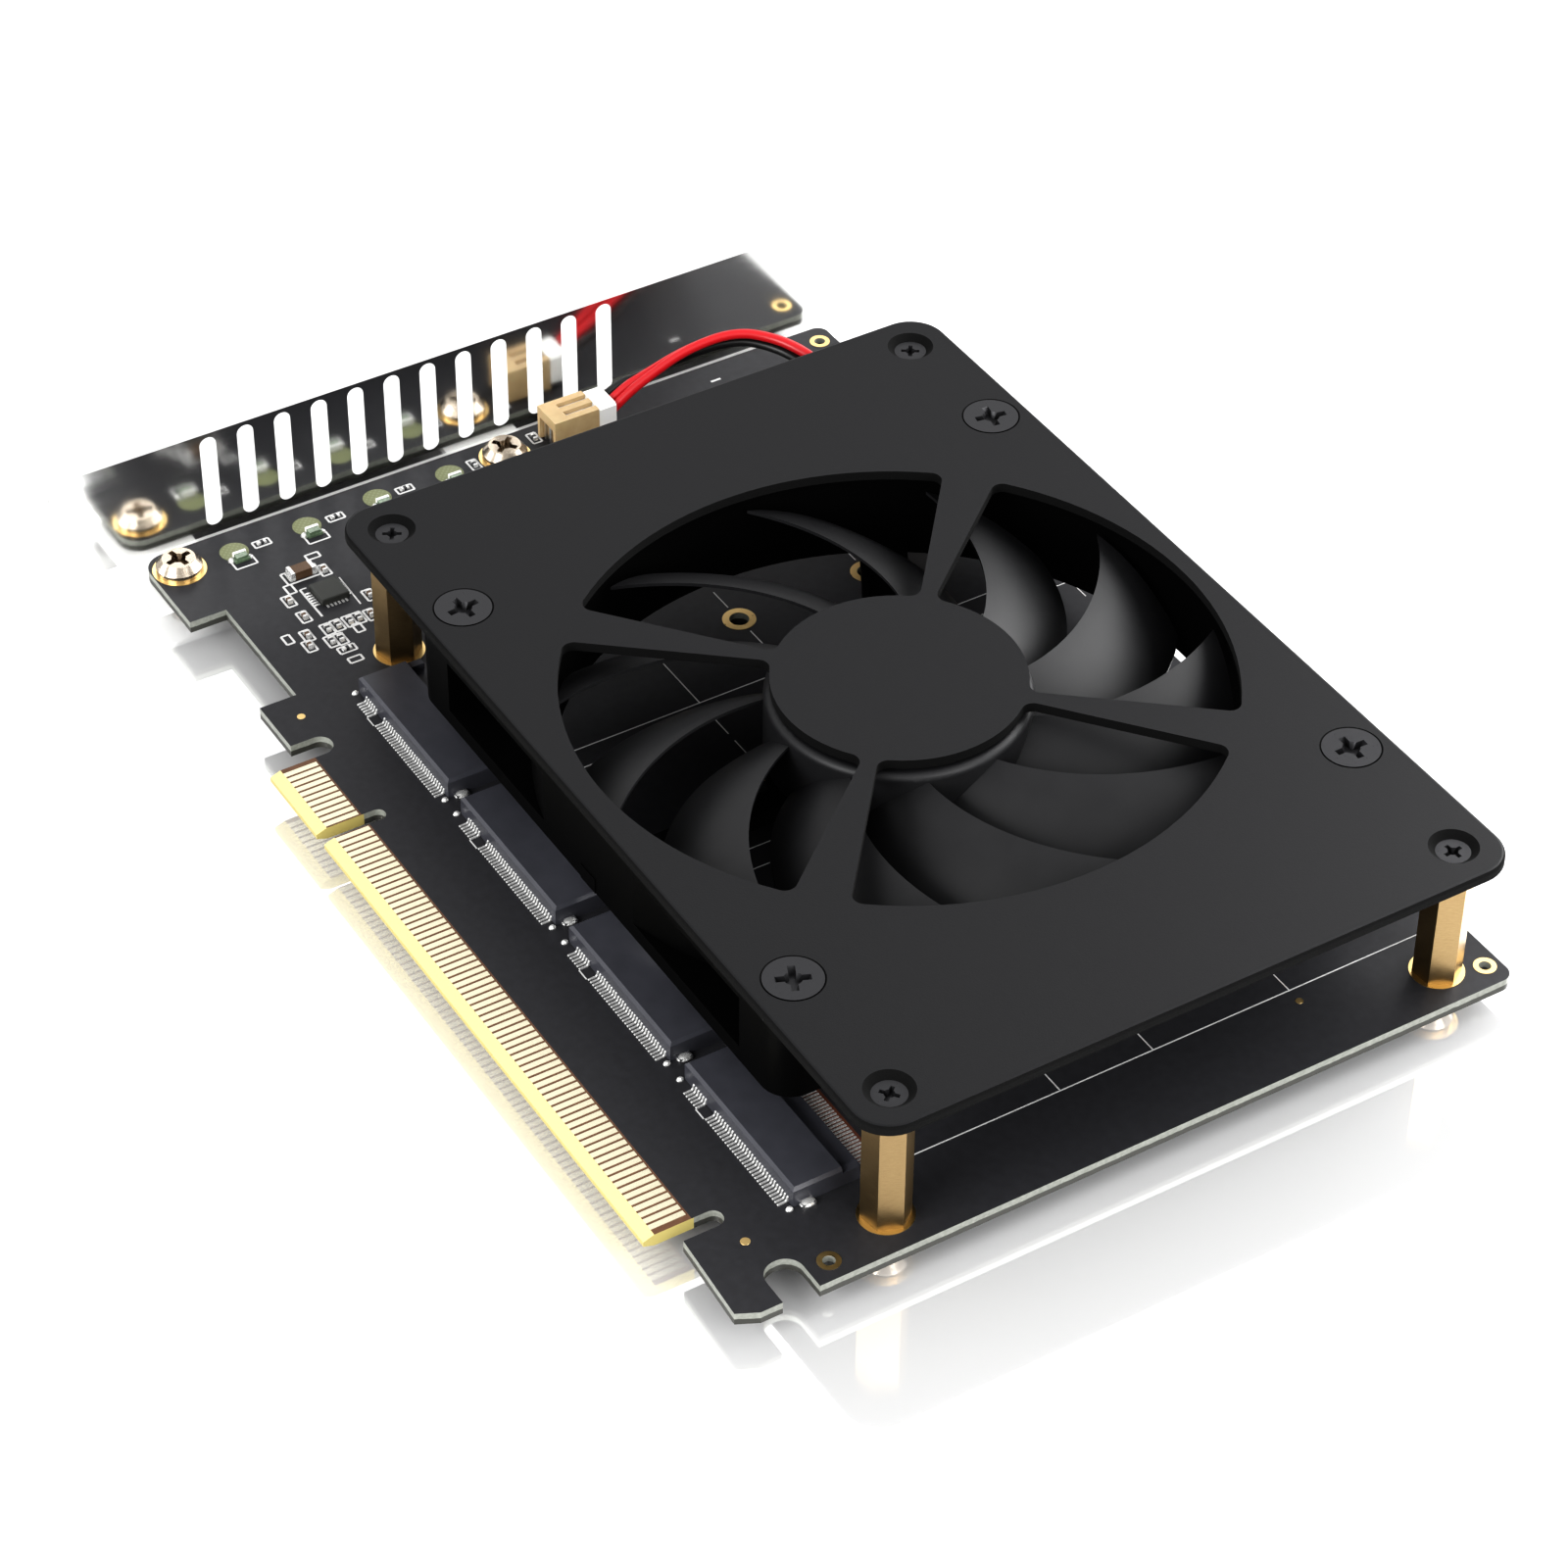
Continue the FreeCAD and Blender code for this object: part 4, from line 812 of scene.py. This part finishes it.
LAMPS = ((-50.3, 14.9), (-50.3, 24.7), (-51.05, 34.8), (-50.9, 44.8))
beads = []
for x in COLUMNS:
    for side in (-1, 1):
        beads.append((x + side * 11.1, 15.0, 0, 0.7, 0.9, 0.4, 0))
        beads.append((x + side * 11.45, 17.0, 0.3, 1.3, 1.9, 0.35, 0))
for x, y in LAMPS:
    beads.append((x - 0.25, y - 1.2, 0, 0.9, 0.9, 0.5, 0))
    beads.append((x + 0.1, y + 1.15, 0, 0.8, 0.7, 0.4, 0))
set_shapes("solder_beads", beads, "tin", bead, solder_finish)

# %% [markdown]
# ## Chip ends
# The small chips are ceramic blocks with a tinned cap at each end and a slope of solder
# down to the board. One shape is both cap and slope, and every chip gets it twice, with
# the second turned round.

# %% Soldered ends of the chips
CHIPS_SMALL = (1.0, 0.5)
capacitor_spots = [
    (-40.0, 16.15), (-36.4, 16.35), (-33.0, 15.05), (-31.1, 14.4), (-43.3, 22.5), (-36.2, 25.0),
    (-32.75, 23.4),
]
resistor_spots = [
    (-32.9, 17.7, 0), (-32.95, 19.05, 0), (-30.6, 17.05, 0), (-30.45, 18.2, 0), (-32.95, 20.65, 0),
    (-32.95, 21.85, 0), (-28.4, 18.0, 90), (-51.96, 18.45, 90), (-52.0, 28.5, 90),
    (-52.7, 38.45, 90), (-52.7, 48.2, 0), (-53.8, 57.3, 0),
]
small_chips = [(x, y, 0, 0.54) for x, y in capacitor_spots]
small_chips += [(x, y, turn, 0.39) for x, y, turn in resistor_spots]
ends = []


def add_ends(x, y, turn, height, length, width, cap):
    """Two soldered ends, one each way along a chip that is turned by some degrees."""
    for face in (0, 180):
        angle = math.radians(turn + face)
        reach = length / 2 - cap / 2 + 0.02
        ends.append((
            x + reach * math.cos(angle), y + reach * math.sin(angle), 0,
            width, cap, height, turn + face - 90,
        ))


for x, y, turn, height in small_chips:
    add_ends(x, y, turn, height, CHIPS_SMALL[0], CHIPS_SMALL[1] + 0.06, 0.32)
add_ends(-44.0, 19.8, 90, 1.14, 3.2, 1.66, 0.5)
set_shapes("chip_ends", ends, "tin", chip_end, solder_finish)

# %% [markdown]
# ## White print
# The board's legend is silk-screened: thin white ink with a slightly rounded edge. Lines
# mark where a drive lies, and frames show where a chip goes. Each line is given by its
# two ends, and one function turns it into a sized point. Lines that cross differ a
# little in height, so that their tops don't lie in one plane.

# %% Printed lines
INK = 0.15
INK_HEIGHT, INK_STEP = 0.03, 0.0006
FRAME_INK, LAMP_INK = 0.27, 0.24
lines_drawn = []


def draw(x0, y0, x1, y1, width=INK):
    """A printed line between two places on the board."""
    length = math.hypot(x1 - x0, y1 - y0)
    turn = math.degrees(math.atan2(y1 - y0, x1 - x0))
    height = INK_HEIGHT + INK_STEP * (len(lines_drawn) % 11)
    lines_drawn.append(((x0 + x1) / 2, (y0 + y1) / 2, 0, length, width, height, turn))


def frame_round(x, y, width, depth, turn=0, line=0.2):
    """A printed rectangle about a chip."""
    if turn:
        width, depth = depth, width
    for side in (-1, 1):
        draw(x - width / 2, y + side * depth / 2, x + width / 2, y + side * depth / 2, line)
        draw(x + side * width / 2, y - depth / 2, x + side * width / 2, y + depth / 2, line)


DRIVE_HOLES = (48.65, 60.65, 78.65, 98.65)
for x in COLUMNS:
    left, right = x - 10.8, x + 11.05
    for edge, inward in ((left, 3.4), (right, -3.4)):
        draw(edge, 30.0, edge, 98.65)
        for y in DRIVE_HOLES[0 if edge == left else 1:]:
            draw(edge, y, edge + inward, y)
    draw(x + 2.6, DRIVE_HOLES[0], right, DRIVE_HOLES[0])
    for y in DRIVE_HOLES:
        draw(x - 6.0, y, x - 2.6, y)
        if y != DRIVE_HOLES[0]:
            draw(x + 2.6, y, x + 6.0, y)
    draw(x - 6.4, 14.15, x - 4.75, 14.15, 0.16)

for x, y, turn, _ in small_chips:
    frame_round(x, y, 2.15, 1.2, turn, FRAME_INK)
frame_round(-44.0, 19.8, 4.5, 2.3, 90, FRAME_INK)
EMPTY_FRAMES = (
    (-33.5, 12.75, 0), (-26.2, 18.0, 90), (-31.3, 21.0, 0), (-46.5, 22.6, 90), (-42.0, 17.3, 0),
)
for x, y, turn in EMPTY_FRAMES:
    frame_round(x, y, 1.7, 1.0, turn, FRAME_INK)
draw(-41.3, 18.26, -35.4, 18.27, 0.28)
draw(-41.1, 23.43, -35.2, 23.3, 0.2)
draw(-41.3, 18.26, -41.3, 19.1, 0.2)
for x, y in LAMPS:
    draw(x + 1.55, y - 1.35, x + 1.55, y + 1.45, LAMP_INK)
    draw(x - 0.2, y + 1.45, x + 1.55, y + 1.45, LAMP_INK)
    draw(x - 0.2, y - 1.35, x + 1.55, y - 1.35, LAMP_INK)
draw(-52.8, 82.5, -52.8, 83.9, 0.35)
ink_finish = Finish("white_ink", (0.55, 0.55, 0.54), 0.6)
ink_grain = ink_finish.noise(3500.0, 3.0)
ink_finish.shade(ink_grain, (0.44, 0.44, 0.44), (0.66, 0.66, 0.65))
set_shapes("printed_lines", lines_drawn, "white_plastic", ink_bar, ink_finish)

# %% [markdown]
# ## Pads of the square package, and the lamps' bodies
# The square package has no legs: it stands on flat tinned pads that peep out at its
# sides. Each lamp has a white ceramic end that faces its window.

# %% Pads and lamp bodies
pads = []
for k in range(6):
    reach = (k - 2.5) * 0.5
    pads.append((-38.9 + reach, 18.75, 0, 0.28, 0.75, 0.06, 0))
    pads.append((-38.9 + reach, 23.02, 0, 0.28, 0.45, 0.06, 0))
    pads.append((-36.75, 21.0 + reach, 0, 0.55, 0.28, 0.06, 0))
    pads.append((-41.0, 21.0 + reach, 0, 0.45, 0.28, 0.06, 0))
set_shapes("package_pads", pads, "tin", ink_bar, solder_finish)
lamp_ends = [(x - 0.62, y + 0.05, 0, 1.7, 0.42, 0.82, 90) for x, y in LAMPS]
set_shapes("lamp_ends", lamp_ends, "white_plastic", ink_bar, white_finish)

for shape in shapes:
    bpy.data.objects.remove(shape)
print("small pieces placed")
